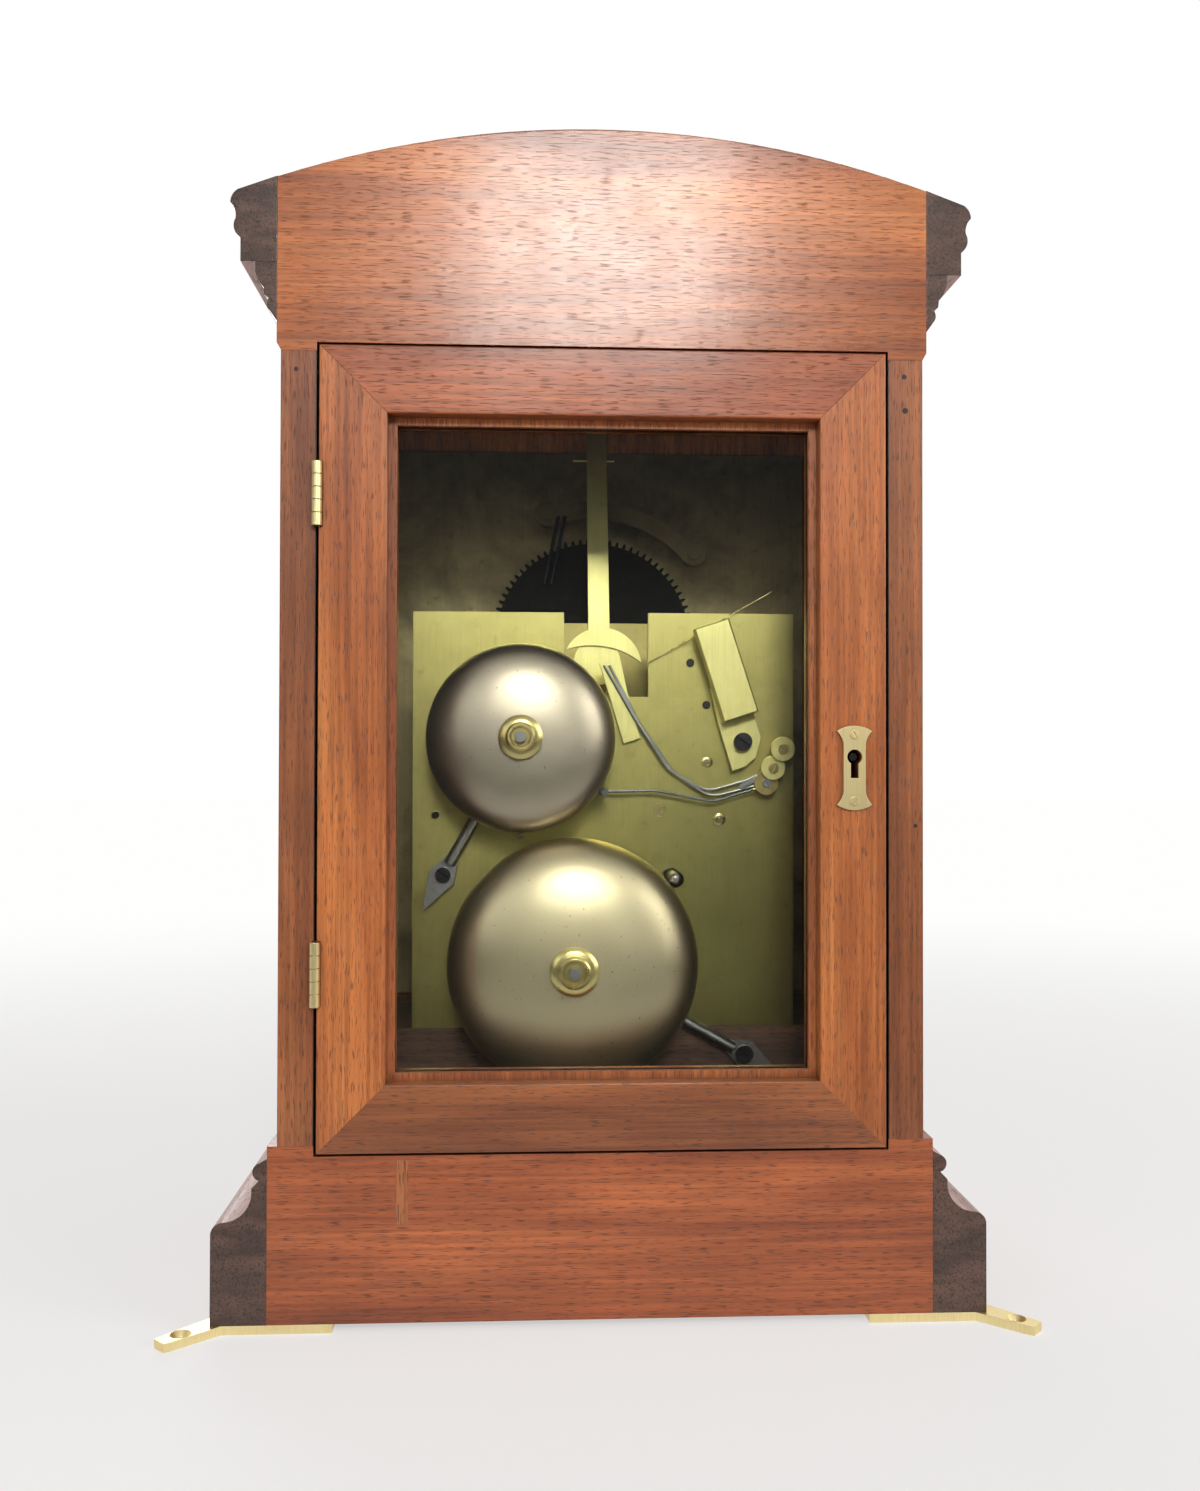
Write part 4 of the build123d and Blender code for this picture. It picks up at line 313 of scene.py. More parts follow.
head_wood = mahogany("mahogany head board", "X", WARM, (0.31, 0.07, 0.13), END, 0.26)
base_wood = mahogany("mahogany base board", "X", RED, (1.17, 0.41, 0.73), END, 0.33)
rail_wood = mahogany("mahogany rails", "X", RED, (2.30, 0.90, 0.37), END, 0.36)
low_rail_wood = mahogany("mahogany low rail", "X", BROWN, (0.90, 0.18, 0.56), END, 0.34)
repair_wood = mahogany("mahogany repair", "Z", BROWN, (0.35, 0.62, 0.11), END, 0.34)
stile_wood = mahogany("mahogany stiles", "Z", WARM, (0.74, 0.22, 0.05), END, 0.30)
side_wood = mahogany(
    "mahogany side boards", "Z", BROWN, (1.90, 0.64, 0.33), END, 0.34, SIDE_BOARD_INNER
)
roof_wood = mahogany("mahogany roof", "X", WARM, (0.52, 0.83, 0.21), END, 0.30, "under")
front_wood = mahogany("mahogany front board", "Z", WARM, (3.10, 0.10, 0.84), END, 0.28)
mould_wood = mahogany("mahogany mouldings", "Y", RED, (0.12, 0.51, 0.40), END, 0.27)
front_mould_wood = mahogany("mahogany front mouldings", "X", RED, (0.44, 0.32, 0.71), END, 0.27)
bead_wood = mahogany("mahogany beads", "Z", WARM, (0.66, 0.15, 0.28), END, 0.42)
inside_wood = mahogany("old dark wood", "X", INSIDE, (0.85, 0.47, 0.23), END, 0.62)


# Where the painted shade of the back plate starts and ends, up from the floor, and its most
PAINTED_SHADE_FROM = 0.070
PAINTED_SHADE_TO = 0.260
PAINTED_SHADE_MOST = 0.60


# Brass: lacquered and a little tarnished, with drawn scratches along one direction
def brass(name, tone, stain, rough, scratch=0.5, stain_amount=0.55, fade=None):
    s = Shade(name)
    patches = s.noise(s.place, 26.0, 5.0, 0.62, 0.4)
    fine = s.noise(s.place, 190.0, 3.0, 0.6)
    colour = s.mix(s.ramp(patches, [(0.42, 0.0), (0.72, stain_amount)]), tone, stain)
    colour = s.mix(s.ramp(fine, [(0.60, 0.0), (0.78, stain_amount * 0.7)]), colour, stain)
    if fade is not None:
        # painted shade that deepens towards the foot of the plate, unevenly
        split = s.split()
        height = s.maths("ADD", split["Z"], s.maths("MULTIPLY", split["X"], 0.42))
        height = s.maths("ADD", height, s.scaled(s.noise(s.place, 14.0, 3.0), -0.02, 0.02))
        colour = s.mix(s.eased(height, PAINTED_SHADE_FROM, PAINTED_SHADE_TO, PAINTED_SHADE_MOST, 0.0), colour, fade)
    lines = s.noise(s.mapped(scale=(1.0, 1.0, 0.012)), 2600.0, 2.0, 0.6)
    colour = s.mix(0.35, colour, s.ramp(lines, [(0.35, 0.80), (0.65, 1.10)]), "MULTIPLY")
    roughness = s.scaled(patches, rough - 0.06, rough + 0.16)
    normal = s.bump(lines, 0.10 * scratch, s.soft_edges(METAL_EDGE))
    return s.finish(Base_Color=colour, Metallic=1.0, Roughness=roughness, Normal=normal)


# The last tone is the painted shade that darkens the back plate towards its foot
plate_brass = brass(
    "plate brass", (0.66, 0.59, 0.22), (0.32, 0.27, 0.09), 0.30, 1.0, 0.5, (0.13, 0.115, 0.045)
)
lever_brass = brass("lever brass", (0.95, 0.88, 0.38), (0.62, 0.54, 0.20), 0.33, 0.8, 0.4)
fitted_brass = brass("fitted brass", (0.95, 0.80, 0.42), (0.70, 0.54, 0.24), 0.38, 0.6, 0.4)
front_plate_brass = brass("front plate brass", (0.46, 0.39, 0.15), (0.22, 0.17, 0.07), 0.38)
bright_brass = brass("bright brass", (0.80, 0.62, 0.27), (0.50, 0.34, 0.13), 0.20)
turned_brass = brass("turned brass", (0.80, 0.68, 0.30), (0.50, 0.38, 0.15), 0.24, scratch=0.4)
dull_brass = brass("dull brass", (0.58, 0.48, 0.26), (0.20, 0.16, 0.10), 0.52, stain_amount=0.8)
# A darker copy of brass: painted shade for the arc bracket, high in the dark top of the case
shade_dark_brass = brass("shade dark brass", (0.27, 0.22, 0.115), (0.11, 0.085, 0.05), 0.50, 0.4, 0.7)


# Steel in its several states
def steel(name, tone, rust, rough, rust_amount=0.4):
    s = Shade(name)
    spots = s.noise(s.place, 420.0, 4.0, 0.65)
    colour = s.mix(s.ramp(spots, [(0.50, 0.0), (0.72, rust_amount)]), tone, rust)
    roughness = s.scaled(spots, rough - 0.05, rough + 0.18)
    normal = s.bump(spots, 0.12, s.soft_edges(METAL_EDGE))
    return s.finish(Base_Color=colour, Metallic=1.0, Roughness=roughness, Normal=normal)


grey_steel = steel("grey steel", (0.42, 0.42, 0.43), (0.16, 0.13, 0.11), 0.28)
black_steel = steel("black steel", (0.05, 0.05, 0.055), (0.09, 0.06, 0.05), 0.30)
dark_wheel = steel("darkened wheel", (0.016, 0.015, 0.014), (0.010, 0.009, 0.008), 0.62)
wire_steel = steel("wire", (0.50, 0.50, 0.50), (0.26, 0.24, 0.22), 0.26, 0.25)

# The x in metres where the brass collet of the small hammer ends
COLLET_END = -0.0700


def collet_and_stem():
    """Brass round the stud at the far end, dark steel along the stem."""
    s = Shade("collet and stem")
    stem = s.maths("GREATER_THAN", s.split()["X"], COLLET_END)
    spots = s.noise(s.place, 300.0, 4.0, 0.6)
    stained = s.ramp(spots, [(0.45, 0.0), (0.75, 0.5)])
    brass_tone = s.mix(stained, (0.80, 0.66, 0.28), (0.42, 0.32, 0.12))
    steel_tone = s.mix(stained, (0.24, 0.24, 0.25), (0.09, 0.08, 0.07))
    return s.finish(
        Base_Color=s.mix(stem, brass_tone, steel_tone), Metallic=1.0,
        Roughness=s.scaled(spots, 0.22, 0.38), Normal=s.bump(spots, 0.08),
    )


hammer_finish = collet_and_stem()


# Bell metal: spun, with a brown bloom that thickens towards the rim, and a painted reflection of
# the brass plate as a yellow band at the very rim
def bell_finish(name, centre, radius, tone, bloom, rim_reflection_tone):
    s = Shade(name)
    from_axis = s.from_axis(centre)
    share = s.maths("DIVIDE", from_axis, radius * MM)
    rings = s.turned_rings(from_axis, 3200.0, 3.0)
    patches = s.noise(s.place, 38.0, 4.0, 0.6, 0.3)
    near_rim = s.ramp(share, [(0.40, 0.0), (0.95, 0.7)])
    bloom_share = s.maths("MULTIPLY", near_rim, s.ramp(patches, [(0.25, 0.45), (0.70, 1.0)]))
    colour = s.mix(bloom_share, tone, bloom)
    colour = s.mix(0.30, colour, s.ramp(rings, [(0.35, 0.82), (0.65, 1.12)]), "MULTIPLY")
    specks = s.noise(s.place, 700.0, 2.0, 0.5)
    colour = s.mix(s.ramp(specks, [(0.68, 0.0), (0.76, 0.6)]), colour, (0.10, 0.07, 0.05))
    # painted reflection: a yellow band at the very rim stands in for the brass plate mirrored there
    colour = s.mix(s.ramp(share, [(0.985, 0.0), (0.993, 1.0)]), colour, rim_reflection_tone)
    roughness = s.scaled(patches, 0.33, 0.46)
    normal = s.bump(rings, 0.06)
    return s.finish(Base_Color=colour, Metallic=1.0, Roughness=roughness, Normal=normal)


large_bell_metal = bell_finish(
    "large bell metal", LARGE_BELL, LARGE_BELL_RADIUS,
    tone=(0.64, 0.56, 0.37), bloom=(0.56, 0.47, 0.32), rim_reflection_tone=(0.72, 0.62, 0.30),
)
small_bell_metal = bell_finish(
    "small bell metal", SMALL_BELL, SMALL_BELL_RADIUS,
    tone=(0.56, 0.49, 0.39), bloom=(0.50, 0.42, 0.33), rim_reflection_tone=(0.70, 0.62, 0.32),
)


# Clear glass that lets the lamps through
def clear_glass(name, tint):
    s = Shade(name)
    s.finish(Base_Color=tint, Roughness=0.0, IOR=1.46, Transmission_Weight=1.0)
    output = s.tree.nodes["Material Output"]
    clear = s.node("ShaderNodeBsdfTransparent")
    clear.inputs["Color"].default_value = (*tint, 1.0)
    rays = s.node("ShaderNodeLightPath")
    either = s.node("ShaderNodeMixShader")
    s.feed(either.inputs["Fac"], rays.outputs["Is Shadow Ray"])
    s.feed(either.inputs[1], s.shader.outputs["BSDF"])
    s.feed(either.inputs[2], clear.outputs["BSDF"])
    s.feed(output.inputs["Surface"], either.outputs["Shader"])
    return s.material


door_pane = clear_glass("door glass", (0.93, 0.95, 0.92))
bezel_pane = clear_glass("bezel glass", (0.97, 0.98, 0.97))


# Silvered dial, turned in fine rings
def silvered_dial():
    s = Shade("silvered dial")
    rings = s.turned_rings(s.from_axis(DIAL_CENTRE), 2400.0, 2.0)
    age = s.noise(s.place, 30.0, 4.0, 0.6)
    colour = s.mix(s.ramp(age, [(0.45, 0.0), (0.78, 0.45)]), (0.72, 0.71, 0.66), (0.50, 0.44, 0.32))
    colour = s.mix(0.2, colour, s.ramp(rings, [(0.3, 0.86), (0.7, 1.08)]), "MULTIPLY")
    normal = s.bump(rings, 0.05)
    return s.finish(
        Base_Color=colour, Metallic=0.75, Roughness=s.scaled(age, 0.38, 0.52), Normal=normal
    )


# Paint, wax, thread: no shine and a faint mottle
def matte(name, tone, rough):
    s = Shade(name)
    mottle = s.noise(s.place, 240.0, 3.0, 0.6)
    colour = s.mix(0.4, tone, s.ramp(mottle, [(0.3, 0.75), (0.7, 1.15)]), "MULTIPLY")
    return s.finish(
        Base_Color=colour, Roughness=s.scaled(mottle, rough - 0.08, rough + 0.1),
        Normal=s.bump(mottle, 0.1),
    )


dial_silver = silvered_dial()
black_wax = matte("black wax", (0.012, 0.012, 0.014), 0.35)
plug_wood = matte("dark plug", (0.030, 0.012, 0.008), 0.55)
grey_binding = matte("grey binding", (0.20, 0.20, 0.20), 0.6)

finishes = {
    "side_board_left": side_wood,
    "side_board_right": side_wood,
    "front_board": front_wood,
    "back_head_board": head_wood,
    "back_base_board": base_wood,
    "bottom_board": inside_wood,
    "roof_panel": roof_wood,
    "crown_gable": front_mould_wood,
    "crown_fascias": mould_wood,
    "bed_mould_front": front_mould_wood,
    "bed_mould_sides": mould_wood,
    "base_mould_front": front_mould_wood,
    "base_mould_sides": mould_wood,
    "seat_board": inside_wood,
    "holddown_brackets": fitted_brass,
    "door_hinge_stile": stile_wood,
    "door_lock_stile": stile_wood,
    "door_top_rail": rail_wood,
    "door_bottom_rail": low_rail_wood,
    "door_glass": door_pane,
    "glazing_beads": bead_wood,
    "hinge_case_leaves": fitted_brass,
    "hinge_door_leaves": fitted_brass,
    "escutcheon": fitted_brass,
    "lock_case": black_steel,
    "lock_bolt": bright_brass,
    "bezel_ring": bright_brass,
    "bezel_glass": bezel_pane,
    "bezel_hinge": bright_brass,
    "dial_plate": dull_brass,
    "dial_disc": dial_silver,
    "hour_hand": black_steel,
    "minute_hand": black_steel,
    "hand_nut": turned_brass,
    "back_plate": plate_brass,
    "front_plate": front_plate_brass,
    "movement_screws": black_steel,
    "arc_bracket": shade_dark_brass,
    "steady_strap": lever_brass,
    "upper_cock": lever_brass,
    "bell_stands": grey_steel,
    "large_bell": large_bell_metal,
    "small_bell": small_bell_metal,
    "bell_nuts": turned_brass,
    "spring_studs": lever_brass,
    "hammer_springs": wire_steel,
    "large_hammer": grey_steel,
    "small_hammer": hammer_finish,
    "let_off_lever": lever_brass,
    "lever_weight": lever_brass,
    "centre_wheel": turned_brass,
    "minute_wheel": turned_brass,
    "hour_wheel": turned_brass,
    "count_wheel": dark_wheel,
    "going_barrel": turned_brass,
    "strike_barrel": turned_brass,
    "third_wheel": turned_brass,
    "escape_wheel": turned_brass,
    "balance_wheel": turned_brass,
}
for name, finish in finishes.items():
    node = nodes[name]
    if not node.material_slots:
        node.data.materials.append(finish)
    for material_slot in node.material_slots:
        material_slot.material = finish


# Corners closer than this, in metres, are one; edges sharper than this stay sharp
WELD_DISTANCE = 0.000002
SHARP_ANGLE = math.radians(28.0)


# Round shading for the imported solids: welded, smooth but for real edges
def smoothing_group():
    group = bpy.data.node_groups.new("smooth below an angle", "GeometryNodeTree")
    group.interface.new_socket("Geometry", in_out="INPUT", socket_type="NodeSocketGeometry")
    group.interface.new_socket("Geometry", in_out="OUTPUT", socket_type="NodeSocketGeometry")
    start = group.nodes.new("NodeGroupInput")
    end = group.nodes.new("NodeGroupOutput")
    weld = group.nodes.new("GeometryNodeMergeByDistance")
    weld.inputs["Distance"].default_value = WELD_DISTANCE
    angle = group.nodes.new("GeometryNodeInputMeshEdgeAngle")
    sharp = group.nodes.new("FunctionNodeCompare")
    sharp.operation = "LESS_THAN"
    sharp.inputs["B"].default_value = SHARP_ANGLE
    faces = group.nodes.new("GeometryNodeSetShadeSmooth")
    faces.domain = "FACE"
    edges = group.nodes.new("GeometryNodeSetShadeSmooth")
    edges.domain = "EDGE"
    link = group.links.new
    link(start.outputs[0], weld.inputs["Geometry"])
    link(weld.outputs["Geometry"], faces.inputs["Geometry"])
    link(faces.outputs["Geometry"], edges.inputs["Geometry"])
    link(angle.outputs["Unsigned Angle"], sharp.inputs["A"])
    link(sharp.outputs["Result"], edges.inputs["Shade Smooth"])
    link(edges.outputs["Geometry"], end.inputs[0])
    return group


smoothing = smoothing_group()
for node in nodes.values():
    modifier = node.modifiers.new("smooth", "NODES")
    modifier.node_group = smoothing
    weighted = node.modifiers.new("weighted normals", "WEIGHTED_NORMAL")
    weighted.keep_sharp = True


# Corners closer than this, in metres, are one point of a new mesh
ONE_POINT = 1e-7


def piece_from(mesh_builder, name, body, finish, sharp=math.radians(35)):
    """The object made from a mesh builder, on its body and its finish."""
    mesh = bpy.data.meshes.new(name)
    for face in mesh_builder.faces:
        face.smooth = True
    for edge in mesh_builder.edges:
        edge.smooth = len(edge.link_faces) == 2 and edge.calc_face_angle(3.2) < sharp
    mesh_builder.to_mesh(mesh)
    mesh_builder.free()
    mesh.materials.append(finish)
    piece = bpy.data.objects.new(name, mesh)
    scene.collection.objects.link(piece)
    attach(piece, body)
    return piece


def spun(profile, centre, steps):
    """A closed ring or cup: a profile of (radius, y) in millimetres turned about the Y axis."""
    builder = bmesh.new()
    x, z = centre
    corners = [builder.verts.new(((x + r) * MM, y * MM, z * MM)) for r, y in profile]
    for first, second in zip(corners, corners[1:]):
        builder.edges.new((first, second))
    bmesh.ops.remove_doubles(builder, verts=builder.verts, dist=ONE_POINT)
    bmesh.ops.spin(
        builder,
        geom=builder.verts[:] + builder.edges[:],
        cent=(x * MM, 0.0, z * MM),
        axis=(0.0, 1.0, 0.0),
        angle=math.tau,
        steps=steps,
        use_merge=True,
    )
    bmesh.ops.remove_doubles(builder, verts=builder.verts, dist=ONE_POINT)
    bmesh.ops.recalc_face_normals(builder, faces=builder.faces)
    return builder


def add_to(builder, part):
    """Moves what one mesh builder holds into another."""
    mesh = bpy.data.meshes.new("part")
    part.to_mesh(mesh)
    part.free()
    builder.from_mesh(mesh)
    bpy.data.meshes.remove(mesh)


# Turns a shape made flat on XY so that its top looks along +Y
LAID_BACK = Matrix.Rotation(-math.pi / 2, 4, "X")


def screw_head(builder, x, y, z, radius, height, slot_turn):
    """A flat screw head with a sunk slot, standing off the plane y along +Y."""
    start = len(builder.verts)
    head = bmesh.ops.create_circle(builder, cap_ends=True, radius=radius * MM, segments=36)
    verts = head["verts"]
    face = verts[0].link_faces[0]
    geom = verts + face.edges[:] + [face]
    half_slot = radius * 0.24 / 2 * MM
    for side in (-1, 1):
        cut = bmesh.ops.bisect_plane(
            builder, geom=geom, plane_co=(side * half_slot, 0, 0), plane_no=(side, 0, 0)
        )
        geom = cut["geom"]
    faces = [g for g in geom if isinstance(g, bmesh.types.BMFace)]
    strip = [f for f in faces if abs(f.calc_center_median().x) < half_slot]
    rim = [e for e in {e for f in faces for e in f.edges} if len(e.link_faces) == 1]
    walls = bmesh.ops.extrude_edge_only(builder, edges=rim)
    low = [v for v in walls["geom"] if isinstance(v, bmesh.types.BMVert)]
    for v in low:
        v.co.z = -height * MM
    sunk = bmesh.ops.extrude_face_region(builder, geom=strip)
    for v in [g for g in sunk["geom"] if isinstance(g, bmesh.types.BMVert)]:
        v.co.z -= min(height * 0.6, radius * 0.4) * MM
    bmesh.ops.delete(builder, geom=strip, context="FACES_ONLY")
    new = builder.verts[:][start:]
    turn = Matrix.Rotation(slot_turn, 4, "Z")
    move = Matrix.Translation(Vector((x, y + height, z)) * MM)
    bmesh.ops.transform(builder, matrix=move @ LAID_BACK @ turn, verts=new)


def round_bar(name, points, radius, body, finish, smooth_line=True):
    """A wire or rod that follows points, made a mesh with its ends closed."""
    curve = bpy.data.curves.new(name, "CURVE")
    curve.dimensions = "3D"
    curve.bevel_depth = radius * MM
    curve.bevel_resolution = 4
    curve.use_fill_caps = True
    line = curve.splines.new("NURBS" if smooth_line else "POLY")
    line.points.add(len(points) - 1)
    for place, point in zip(line.points, points):
        place.co = (point[0] * MM, point[1] * MM, point[2] * MM, 1.0)
    if smooth_line:
        line.order_u = 3
        line.use_endpoint_u = True
        line.resolution_u = 10
    holder = bpy.data.objects.new(name + "_line", curve)
    scene.collection.objects.link(holder)
    bpy.context.view_layer.update()
    mesh = bpy.data.meshes.new_from_object(holder)
    bpy.data.objects.remove(holder)
    builder = bmesh.new()
    builder.from_mesh(mesh)
    bmesh.ops.remove_doubles(builder, verts=builder.verts, dist=ONE_POINT)
    bmesh.ops.recalc_face_normals(builder, faces=builder.faces)
    piece_from(builder, name, body, finish, math.radians(50))


# The outside of a bell is a quarter of a superellipse with these two powers
BELL_ACROSS = 2.3
BELL_UP = 3.17
BELL_RIM_Y = 45.0
BELL_WALL = 2.2
BELL_HOLE = 2.6
BELL_LIP = 0.4
BELL_FLAT = 7.5
OUTER_STEPS = 44
INNER_STEPS = 16


# Bells with a fine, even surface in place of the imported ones
def bell(name, node, centre, radius, rise, finish):
    top = BELL_RIM_Y + rise
    outer = []
    for step in range(1, OUTER_STEPS + 1):
        turn = math.pi / 2 * (step / OUTER_STEPS)
        out = radius * math.cos(turn) ** (2 / BELL_ACROSS)
        if out > BELL_HOLE + 0.5:
            outer.append((out, BELL_RIM_Y + rise * math.sin(turn) ** (2 / BELL_UP)))
    inner = []
    for step in range(INNER_STEPS + 1):
        turn = math.pi / 2 * step / INNER_STEPS
        out = radius * 0.42 + (radius * 0.50 - BELL_WALL) * math.sin(turn)
        drop = (rise * 0.94 - BELL_WALL) * (1 - math.cos(turn))
        inner.append((out, top - BELL_WALL - rise * 0.06 - drop))
    profile = [(radius, BELL_RIM_Y), (radius, BELL_RIM_Y + BELL_LIP), *outer]
    profile += [(BELL_HOLE, top), (BELL_HOLE, top - BELL_WALL), (BELL_FLAT, top - BELL_WALL)]
    profile += [*inner, (radius, BELL_RIM_Y)]
    made = piece_from(spun(profile, centre, 144), name, "case", finish)
    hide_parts(node)


bell("large_bell_shell", "large_bell", LARGE_BELL, LARGE_BELL_RADIUS, 26.0, large_bell_metal)
bell("small_bell_shell", "small_bell", SMALL_BELL, SMALL_BELL_RADIUS, 22.0, small_bell_metal)

# The two screws of the escutcheon, whose plate is 1.2 thick
screws = bmesh.new()
for height, slot_turn in ((236.4, 0.5), (209.6, -0.3)):
    screw_head(screws, -100.6, DOOR_FACE + 1.2, height, 1.75, 0.5, slot_turn)
piece_from(screws, "escutcheon_screws", "back_door", fitted_brass)

# Plugs and old nail holes in the wood of the back
plugs = bmesh.new()
for x, z, radius in (
    (123.0, 381.0, 0.9),
    (-121.5, 381.8, 1.0),
    (-121.9, 368.0, 1.2),
    (-126.0, 199.6, 0.8),
):
    made = bmesh.ops.create_circle(plugs, cap_ends=True, radius=radius * MM, segments=20)
    move = Matrix.Translation(Vector((x, BACK_PLANE + 0.04, z)) * MM)
    bmesh.ops.transform(plugs, matrix=move @ LAID_BACK, verts=made["verts"])
piece_from(plugs, "case_plugs", "case", plug_wood)

# Slotted screws that hold the two anchor discs and the hammer collet
disc_screws = bmesh.new()
screw_head(disc_screws, -82.6, 40.2, 231.2, 2.3, 0.9, 0.9)
screw_head(disc_screws, -78.6, 38.0, 222.8, 2.3, 0.9, -0.4)
piece_from(disc_screws, "disc_screws", "case", turned_brass)
collet_screw = bmesh.new()
screw_head(collet_screw, -75.9, 36.4, 216.1, 2.0, 0.8, 0.3)
piece_from(collet_screw, "collet_screw", "case", grey_steel)

# A repair strip let into the base board
strip = bmesh.new()
bmesh.ops.create_cube(strip, size=1.0)
bmesh.ops.transform(
    strip,
    matrix=Matrix.Translation(Vector((80.0, BACK_PLANE - 0.42, 54.8)) * MM)
    @ Matrix.Diagonal((5.2 * MM, 1.0 * MM, 25.6 * MM, 1.0)),
    verts=strip.verts,
)
bmesh.ops.bevel(
    strip, geom=strip.edges[:], offset=0.0003, affect="EDGES", segments=2, profile=0.5, material=-1
)
piece_from(strip, "repair_strip", "case", repair_wood)

# Plate fittings: brass bushes with steel pivots, seen between the bells
bushes = bmesh.new()
pivots = bmesh.new()
pivot_profile = [
    (0.0, PLATE_BACK + 0.4),
    (0.7, PLATE_BACK + 0.35),
    (0.95, PLATE_BACK + 0.1),
    (0.95, PLATE_BACK),
]
for x, z, radius in (
    (-49.8, 225.2, 2.6),
    (-55.5, 199.7, 2.8),
    (71.7, 201.5, 2.0),
    (34.2, 192.5, 1.6),
):
    bush_profile = [
        (radius, PLATE_BACK),
        (radius, PLATE_BACK + 0.25),
        (radius - 0.4, PLATE_BACK + 0.5),
        (1.2, PLATE_BACK + 0.5),
        (1.0, PLATE_BACK + 0.1),
    ]
    add_to(bushes, spun(bush_profile, (x, z), 32))
    add_to(pivots, spun(pivot_profile, (x, z), 24))
piece_from(bushes, "plate_bushes", "case", turned_brass)
piece_from(pivots, "plate_pivots", "case", grey_steel)

# Fine wire, binding of the spring wires and two steel rods
round_bar(
    "fine_wire",
    [(-23.2, 31.0, 270.0), (-40.0, 32.6, 279.5), (-60.0, 33.0, 291.5), (-78.6, 33.4, 302.0)],
    0.22,
    "case",
    turned_brass,
)
round_bar(
    "spring_binding",
    [(-64.5, 33.2, 213.6), (-68.0, 33.4, 216.2), (-71.2, 33.3, 217.6)],
    1.5,
    "case",
    grey_binding,
)
for number, x in enumerate((13.0, 16.2)):
    round_bar(
        f"warning_rod_{number}",
        [(x, -22.0, 345.0), (x + 6.8, -22.0, 312.0)],
        0.9,
        "case",
        black_steel,
        smooth_line=False,
    )


# Dial: numbers, minute track and the collars of the winding holes
WAX = 0.06
FIGURE_SIZE = 0.017
FIGURE_CIRCLE = 70.0
TRACK_LINE = 0.35
TRACK_RADII = (91.0, 86.0, 52.0)
TICK_MIDDLE = 88.4
TICK_LENGTH = 4.8
HOUR_TICK = 1.1
MINUTE_TICK = 0.4
WINDING_HOLES = (28.284, -28.284)
WINDING_HEIGHT = 203.716


def figures():
    builder = bmesh.new()
    for hour in range(1, 13):
        text = bpy.data.curves.new("figure", "FONT")
        text.body = str(hour)
        text.size = FIGURE_SIZE
        text.align_x = "CENTER"
        text.align_y = "CENTER"
        text.extrude = 0.00005
        holder = bpy.data.objects.new("figure", text)
        scene.collection.objects.link(holder)
        bpy.context.view_layer.update()
        mesh = bpy.data.meshes.new_from_object(holder)
        bpy.data.objects.remove(holder)
        turn = math.radians(90 - 30 * hour)
        x = FIGURE_CIRCLE * math.cos(turn)
        z = DIAL_CENTRE[1] + FIGURE_CIRCLE * math.sin(turn)
        middle = sum((v.co for v in mesh.vertices), Vector()) / len(mesh.vertices)
        mesh.transform(Matrix.Translation((-middle.x, -middle.y, 0)))
        move = Matrix.Translation(Vector((x, DIAL_FACE - WAX, z)) * MM)
        mesh.transform(move @ Matrix.Rotation(math.pi / 2, 4, "X"))
        builder.from_mesh(mesh)
    bmesh.ops.remove_doubles(builder, verts=builder.verts, dist=ONE_POINT)
    piece_from(builder, "dial_figures", "case", black_wax)


def minute_track():
    builder = bmesh.new()
    for radius in TRACK_RADII:
        line = [
            (radius, DIAL_FACE),
            (radius, DIAL_FACE - WAX),
            (radius - TRACK_LINE, DIAL_FACE - WAX),
            (radius - TRACK_LINE, DIAL_FACE),
        ]
        add_to(builder, spun(line, DIAL_CENTRE, 160))
    for minute in range(60):
        width = HOUR_TICK if minute % 5 == 0 else MINUTE_TICK
        tick = bmesh.ops.create_cube(builder, size=1.0)
        size = Matrix.Diagonal((width * MM, WAX * MM, TICK_LENGTH * MM, 1.0))
        out = Matrix.Translation((0, 0, TICK_MIDDLE * MM))
        turn = Matrix.Rotation(math.radians(6 * minute), 4, "Y")
        place = Matrix.Translation(Vector((DIAL_CENTRE[0], DIAL_FACE - 0.03, DIAL_CENTRE[1])) * MM)
        bmesh.ops.transform(builder, matrix=place @ turn @ out @ size, verts=tick["verts"])
    piece_from(builder, "minute_track", "case", black_wax)


figures()
minute_track()
collars = bmesh.new()
collar_profile = [
    (4.6, DIAL_FACE + 0.3),
    (4.6, DIAL_FACE - 0.5),
    (5.4, DIAL_FACE - 0.7),
    (6.2, DIAL_FACE - 0.3),
    (6.2, DIAL_FACE),
]
for x in WINDING_HOLES:
    add_to(collars, spun(collar_profile, (x, WINDING_HEIGHT), 48))
piece_from(collars, "winding_collars", "case", turned_brass)


# Floor, backdrop and light
def seen_share(tree):
    """1 for rays that see the backdrop: straight, in a mirror or through glass."""
    rays = tree.nodes.new("ShaderNodeLightPath")
    share = rays.outputs["Is Camera Ray"]
    for kind in ("Is Glossy Ray", "Is Transmission Ray"):
        either = tree.nodes.new("ShaderNodeMath")
        either.operation = "MAXIMUM"
        tree.links.new(share, either.inputs[0])
        tree.links.new(rays.outputs[kind], either.inputs[1])
        share = either.outputs["Value"]
    return share


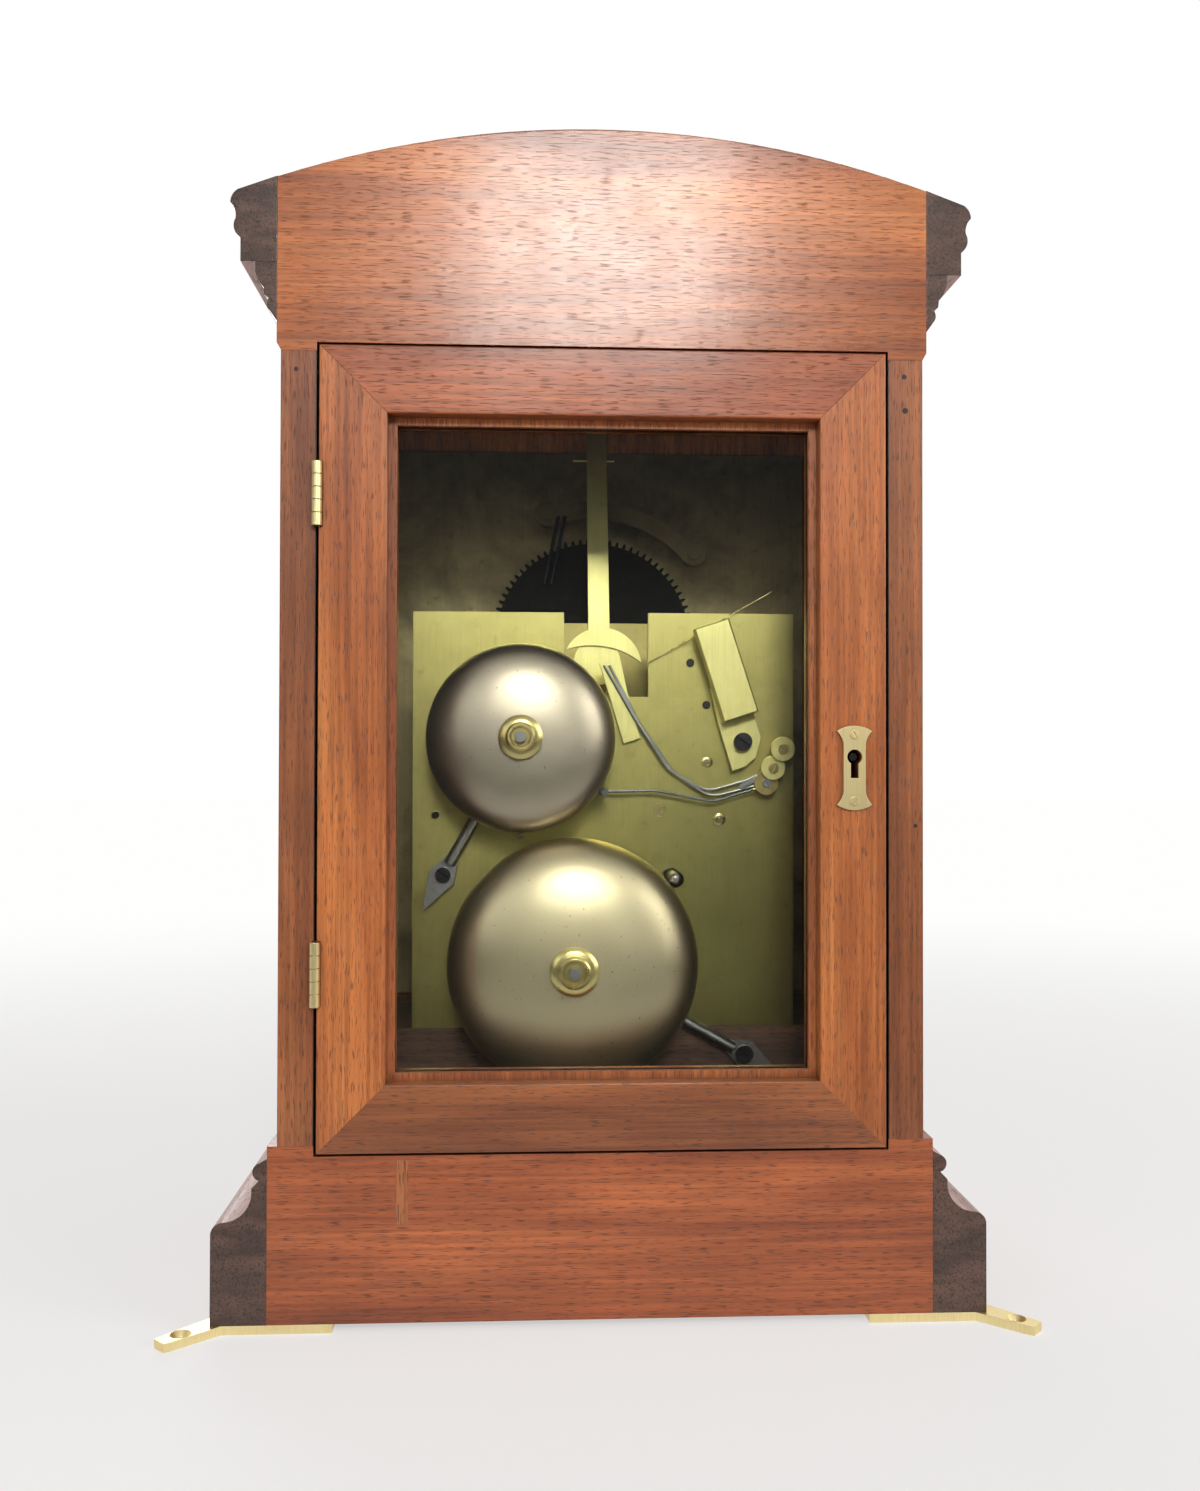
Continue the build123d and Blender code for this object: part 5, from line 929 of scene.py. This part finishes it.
def stage_material():
    """A pale floor that fades to white, and is dim where shiny things mirror its far part."""
    s = Shade("pale floor")
    s.finish(Base_Color=(0.86, 0.845, 0.835), Roughness=0.85, Specular_IOR_Level=0.1)
    away = s.node("ShaderNodeVectorMath", operation="LENGTH")
    s.feed(away.inputs[0], s.place)
    fade = s.eased(away.outputs["Value"], 0.25, 1.6, 0.55, 1.0)
    towards_camera = s.eased(s.split()["Y"], 0.12, 0.60)
    rays = s.node("ShaderNodeLightPath")
    shine = s.maths("MINIMUM", rays.outputs["Glossy Depth"], 1.0)
    dim = s.maths("MULTIPLY", towards_camera, shine)
    dark = s.node("ShaderNodeEmission")
    dark.inputs["Color"].default_value = (0.060, 0.056, 0.050, 1.0)
    plain = s.node("ShaderNodeMixShader")
    s.feed(plain.inputs["Fac"], dim)
    s.feed(plain.inputs[1], s.shader.outputs["BSDF"])
    s.feed(plain.inputs[2], dark.outputs["Emission"])
    glow = s.node("ShaderNodeEmission")
    glow.inputs["Color"].default_value = (1.0, 0.995, 0.99, 1.0)
    glow.inputs["Strength"].default_value = 1.0
    both = s.node("ShaderNodeMixShader")
    lit = s.maths("MULTIPLY", fade, s.maths("SUBTRACT", 1.0, dim))
    s.feed(both.inputs["Fac"], s.maths("MULTIPLY", lit, seen_share(s.tree)))
    s.feed(both.inputs[1], plain.outputs["Shader"])
    s.feed(both.inputs[2], glow.outputs["Emission"])
    s.feed(s.tree.nodes["Material Output"].inputs["Surface"], both.outputs["Shader"])
    return s.material


floor = bmesh.new()
bmesh.ops.create_grid(floor, x_segments=1, y_segments=1, size=8.0)
floor_mesh = bpy.data.meshes.new("floor")
floor.to_mesh(floor_mesh)
floor.free()
floor_mesh.materials.append(stage_material())
floor_piece = bpy.data.objects.new("floor", floor_mesh)
scene.collection.objects.link(floor_piece)


def world_light():
    """An even pale room, white behind the clock and dim behind the camera."""
    world = bpy.data.worlds.new("studio")
    world.use_nodes = True
    tree = world.node_tree
    link = tree.links.new

    def ranged(value, low, high, out_low, out_high):
        made = tree.nodes.new("ShaderNodeMapRange")
        made.interpolation_type = "SMOOTHSTEP"
        link(value, made.inputs["Value"])
        for key, number in (
            ("From Min", low), ("From Max", high), ("To Min", out_low), ("To Max", out_high)
        ):
            made.inputs[key].default_value = number
        return made.outputs["Result"]

    way = tree.nodes.new("ShaderNodeSeparateXYZ")
    link(tree.nodes.new("ShaderNodeTexCoord").outputs["Generated"], way.inputs["Vector"])
    dim = ranged(way.outputs["Y"], -0.35, 0.25, 1.0, 0.10)
    high = ranged(way.outputs["Z"], -0.05, 0.75, 0.0, 0.45)
    strength = tree.nodes.new("ShaderNodeMath")
    strength.operation = "MAXIMUM"
    link(dim, strength.inputs[0])
    link(high, strength.inputs[1])
    even = tree.nodes["Background"]
    even.inputs["Color"].default_value = (0.96, 0.97, 1.0, 1.0)
    even.inputs["Strength"].default_value = 0.33
    white = tree.nodes.new("ShaderNodeBackground")
    white.inputs["Color"].default_value = (1.0, 1.0, 1.0, 1.0)
    no_shine = tree.nodes.new("ShaderNodeMath")
    no_shine.operation = "LESS_THAN"
    link(tree.nodes.new("ShaderNodeLightPath").outputs["Glossy Depth"], no_shine.inputs[0])
    straight = tree.nodes.new("ShaderNodeMath")
    straight.operation = "MAXIMUM"
    link(no_shine.outputs["Value"], straight.inputs[0])
    link(strength.outputs["Value"], straight.inputs[1])
    link(straight.outputs["Value"], white.inputs["Strength"])
    either = tree.nodes.new("ShaderNodeMixShader")
    link(seen_share(tree), either.inputs["Fac"])
    link(even.outputs["Background"], either.inputs[1])
    link(white.outputs["Background"], either.inputs[2])
    link(either.outputs["Shader"], tree.nodes["World Output"].inputs["Surface"])
    scene.world = world


LAMP_AIM = (0.0, 0.0, 0.25)


def soft_box(name, place, width, height, power, tone=(1.0, 1.0, 1.0)):
    data = bpy.data.lights.new(name, "AREA")
    data.shape = "RECTANGLE"
    data.size = width
    data.size_y = height
    data.energy = power
    data.color = tone
    lamp = bpy.data.objects.new(name, data)
    scene.collection.objects.link(lamp)
    way = Vector(LAMP_AIM) - Vector(place)
    turn = way.to_track_quat("-Z", "Y").to_matrix().to_4x4()
    lamp.matrix_world = Matrix.Translation(place) @ turn


world_light()
soft_box("key", (-0.08, 1.70, 1.05), 0.42, 0.34, 13.5, (1.0, 0.975, 0.94))
soft_box("right_fill", (-1.7, 1.1, 0.9), 1.1, 1.1, 15.0, (1.0, 0.98, 0.95))
soft_box("left_fill", (1.5, 1.7, 0.9), 1.0, 1.0, 5.0)
soft_box("front_fill", (0.6, -1.9, 1.2), 1.2, 1.2, 13.0)

scene.view_settings.view_transform = "Standard"
